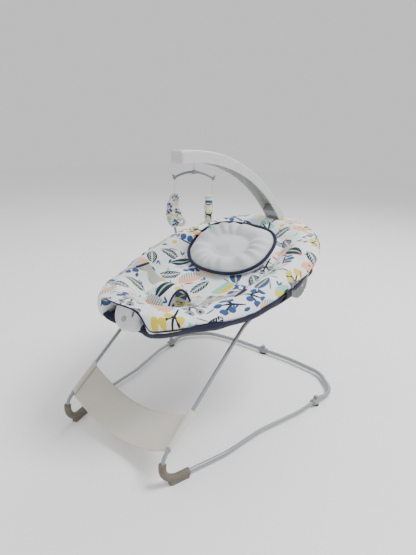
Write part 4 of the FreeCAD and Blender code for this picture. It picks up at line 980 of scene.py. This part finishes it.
SLING_POINTS = 120
SLING_ROWS = 24
bm = bmesh.new()
turn_layer = bm.verts.layers.float.new("turn")
row_layer = bm.verts.layers.float.new("row")
row = [bm.verts.new((0, 0, 0)) for _ in range(SLING_POINTS + 1)]
edges = [bm.edges.new(pair) for pair in zip(row, row[1:])]
for index, point in enumerate(row):
    point[turn_layer] = index / SLING_POINTS
for count in range(SLING_ROWS + 1):
    share = count / SLING_ROWS
    if count:
        grown = bmesh.ops.extrude_edge_only(bm, edges=edges)["geom"]
        row = [item for item in grown if isinstance(item, bmesh.types.BMVert)]
        edges = [item for item in grown if isinstance(item, bmesh.types.BMEdge)]
    for point in row:
        x, z = sling_profile(point[turn_layer])
        along = riser_foot + UP_RISER * (SLING_RUN * share)
        point.co = Vector((x, along.y, along.z + z))
        point[row_layer] = share
lay_flat(bm, turn_layer, row_layer, lambda turn, row, spot: (turn * 0.38, row * SLING_RUN))
bmesh.ops.recalc_face_normals(bm, faces=bm.faces)
sling = to_piece(bm, "leg_sling_canvas")
crease(sling, ((0.06, 0.0020, 4.0), (0.02, 0.0005, 8.0)))
wall = sling.modifiers.new("thickness", "SOLIDIFY")
wall.thickness = 0.0014
wall.offset = 0.0
dress(sling, sling_cloth, "seat", "sling_fabric", "leg_sling")
for side in (1, -1):
    seam_foot = Vector((side * 0.130, riser_foot.y, riser_foot.z - 0.0118))
    seam_line = [seam_foot + UP_RISER * (SLING_RUN * share) for share in (0.01, 0.3, 0.6, 0.99)]
    # Each sleeve's seam is a thin tube whose darker grey is painted shade along its crease.
    sleeve_seam = tube("sleeve_seam_%s" % ("right" if side > 0 else "left"), seam_line, 0.0008, smooth=6)
    dress(sleeve_seam, seam_and_painted_shade, "seat", "sling_fabric")

# %% [markdown]
# ## The mobile
# Two small stuffed shapes hang from ribbons on the mobile's bar. Each is a flat outline, given
# thickness and a crown by two insets. The left one carries a plush ring and a ribbon tail, and
# the right one is turned edge on.

# %% Toys and ribbons
toy_print = printed_cloth("printed_toy_plush", "cloth", 0.34, "#D6D4C8")
YAW = Matrix.Rotation(math.radians(40.0), 4, "Z")


def plush(name, outline, thick, spot, turn):
    """A stuffed shape: its outline, inset for a crown, mirrored to both faces."""
    bm = bmesh.new()
    corners = [bm.verts.new((x, 0, z)) for x, z in outline]
    face = bm.faces.new(corners)
    flat = bm.loops.layers.uv.new("cloth")
    solid = bmesh.ops.extrude_face_region(bm, geom=[face])
    moved = [item for item in solid["geom"] if isinstance(item, bmesh.types.BMVert)]
    bmesh.ops.translate(bm, verts=moved, vec=(0, thick, 0))
    bmesh.ops.translate(bm, verts=bm.verts, vec=(0, -thick / 2, 0))
    bmesh.ops.recalc_face_normals(bm, faces=bm.faces)
    for cap in [face for face in bm.faces if len(face.verts) == len(outline)]:
        for _ in range(2):
            bmesh.ops.inset_region(bm, faces=[cap], thickness=0.004, depth=thick * 0.12)
    for face in bm.faces:
        for corner in face.loops:
            corner[flat].uv = (corner.vert.co.x + spot.x, corner.vert.co.z)
    place = Matrix.Translation(spot) @ YAW @ Matrix.Rotation(turn, 4, "Z")
    bmesh.ops.transform(bm, verts=bm.verts, matrix=place)
    piece = to_piece(bm, name)
    refine(piece, 2)
    return piece


def top_middle(node):
    """The middle of a CAD node's top, from its box."""
    low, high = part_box(node)
    return Vector(((low[0] + high[0]) / 2, (low[1] + high[1]) / 2, high[2]))


left_spot, right_spot = top_middle("soft_toy_left"), top_middle("soft_toy_right")
LEFT_OUTLINE = [
    (0.003, 0), (0.010, -0.004), (0.012, -0.012), (0.009, -0.022), (0.010, -0.034),
    (0.016, -0.044), (0.018, -0.056), (0.012, -0.070), (0.002, -0.078), (-0.008, -0.074),
    (-0.016, -0.062), (-0.018, -0.046), (-0.017, -0.028), (-0.012, -0.012), (-0.005, -0.003)]
RIGHT_OUTLINE = [
    (0.0, 0), (0.009, -0.004), (0.014, -0.014), (0.011, -0.024), (0.014, -0.036),
    (0.018, -0.048), (0.012, -0.060), (0.0, -0.064), (-0.012, -0.060), (-0.018, -0.048),
    (-0.014, -0.036), (-0.011, -0.024), (-0.014, -0.014), (-0.009, -0.004)]
left_toy = plush("ring_toy", LEFT_OUTLINE, 0.010, left_spot, 0.0)
right_toy = plush("leaf_toy", RIGHT_OUTLINE, 0.012, right_spot, math.radians(90))
dress(left_toy, toy_print, "toy_left", "toy_plush", "soft_toy_left")
dress(right_toy, toy_print, "toy_right", "toy_plush", "soft_toy_right")

RING_RADIUS = 0.0085
ring_centre = left_spot + YAW @ Vector((0.014, 0.0, -0.062))
ring_points = []
for index in range(16):
    turn = 2 * math.pi * index / 16
    spoke = Vector((RING_RADIUS * math.cos(turn), 0, RING_RADIUS * math.sin(turn)))
    ring_points.append(ring_centre + YAW @ spoke)
teether = tube("toy_ring", ring_points, 0.0034, closed=True, smooth=6)
dress(teether, plush_cloth, "toy_left", "toy_plush")

for word, spot, body in (("left", left_spot, "toy_left"), ("right", right_spot, "toy_right")):
    strap_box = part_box("toy_strap_" + word)
    middle = Vector(((strap_box[0][0] + strap_box[1][0]) / 2, (strap_box[0][1] + strap_box[1][1]) / 2, 0))
    top, bottom = strap_box[1][2] - 0.002, strap_box[0][2] - 0.003
    points = [
        middle + Vector((0.0005 * math.sin(step * 2.1), 0, top + (bottom - top) * step / 4))
        for step in range(5)]
    ribbon = band("toy_ribbon_" + word, points, lambda share: (-0.643, 0.766, 0), 0.0055, 0.0012, steps=5)
    dress(ribbon, ribbon_cloth, body, "toy_ribbon", "toy_strap_" + word)
    tail_top = spot + Vector((0.002, 0, -0.076 if word == "left" else -0.062))
    tail = [tail_top, tail_top + Vector((0.001, 0.001, -0.006)), tail_top + Vector((0.003, 0.000, -0.012))]
    tail_piece = band("toy_tail_" + word, tail, lambda share: (0.766, 0.643, 0), 0.005, 0.0012, steps=4)
    dress(tail_piece, teal_ribbon, body, "toy_ribbon")

# %% [markdown]
# ## Floor and light
# A pale floor runs out to a white world. The key lamp stands high on the right, so that the
# padding shows its folds, and two weaker lamps open the shadows.

# %% Stage
bm = bmesh.new()
bmesh.ops.create_grid(bm, x_segments=1, y_segments=1, size=6.0)
floor = to_piece(bm, "floor")
floor_paint, tree, shader, place = new_finish("studio_floor")
speck = add(tree, "ShaderNodeTexNoise", {"Vector": place, "Scale": 3.0})
tone = add(tree, "ShaderNodeMix", {
    "Factor": speck.outputs["Fac"], "A": linear("#FBFBFB"), "B": linear("#F7F7F7")}, data_type="RGBA")
tree.links.new(tone.outputs["Result"], shader.inputs["Base Color"])
shader.inputs["Roughness"].default_value = 0.9
floor.data.materials.append(floor_paint)

world = bpy.data.worlds.new("studio")
world.use_nodes = True
world.node_tree.nodes["Background"].inputs["Color"].default_value = (1.0, 1.0, 1.0, 1.0)
world.node_tree.nodes["Background"].inputs["Strength"].default_value = 0.78
bpy.context.scene.world = world
for name, spot, power, width in (
    ("key", (1.3, 0.5, 2.5), 70.0, 1.0),
    ("fill", (-1.6, -1.4, 1.6), 10.0, 1.8),
    ("back", (-0.6, 2.0, 2.2), 26.0, 1.4),
):
    lamp_data = bpy.data.lights.new(name, "AREA")
    lamp_data.energy = power
    lamp_data.size = width
    lamp = bpy.data.objects.new(name, lamp_data)
    lamp.location = spot
    lamp.rotation_euler = (Vector((0, 0, 0.3)) - Vector(spot)).to_track_quat("-Z", "Y").to_euler()
    bpy.context.collection.objects.link(lamp)
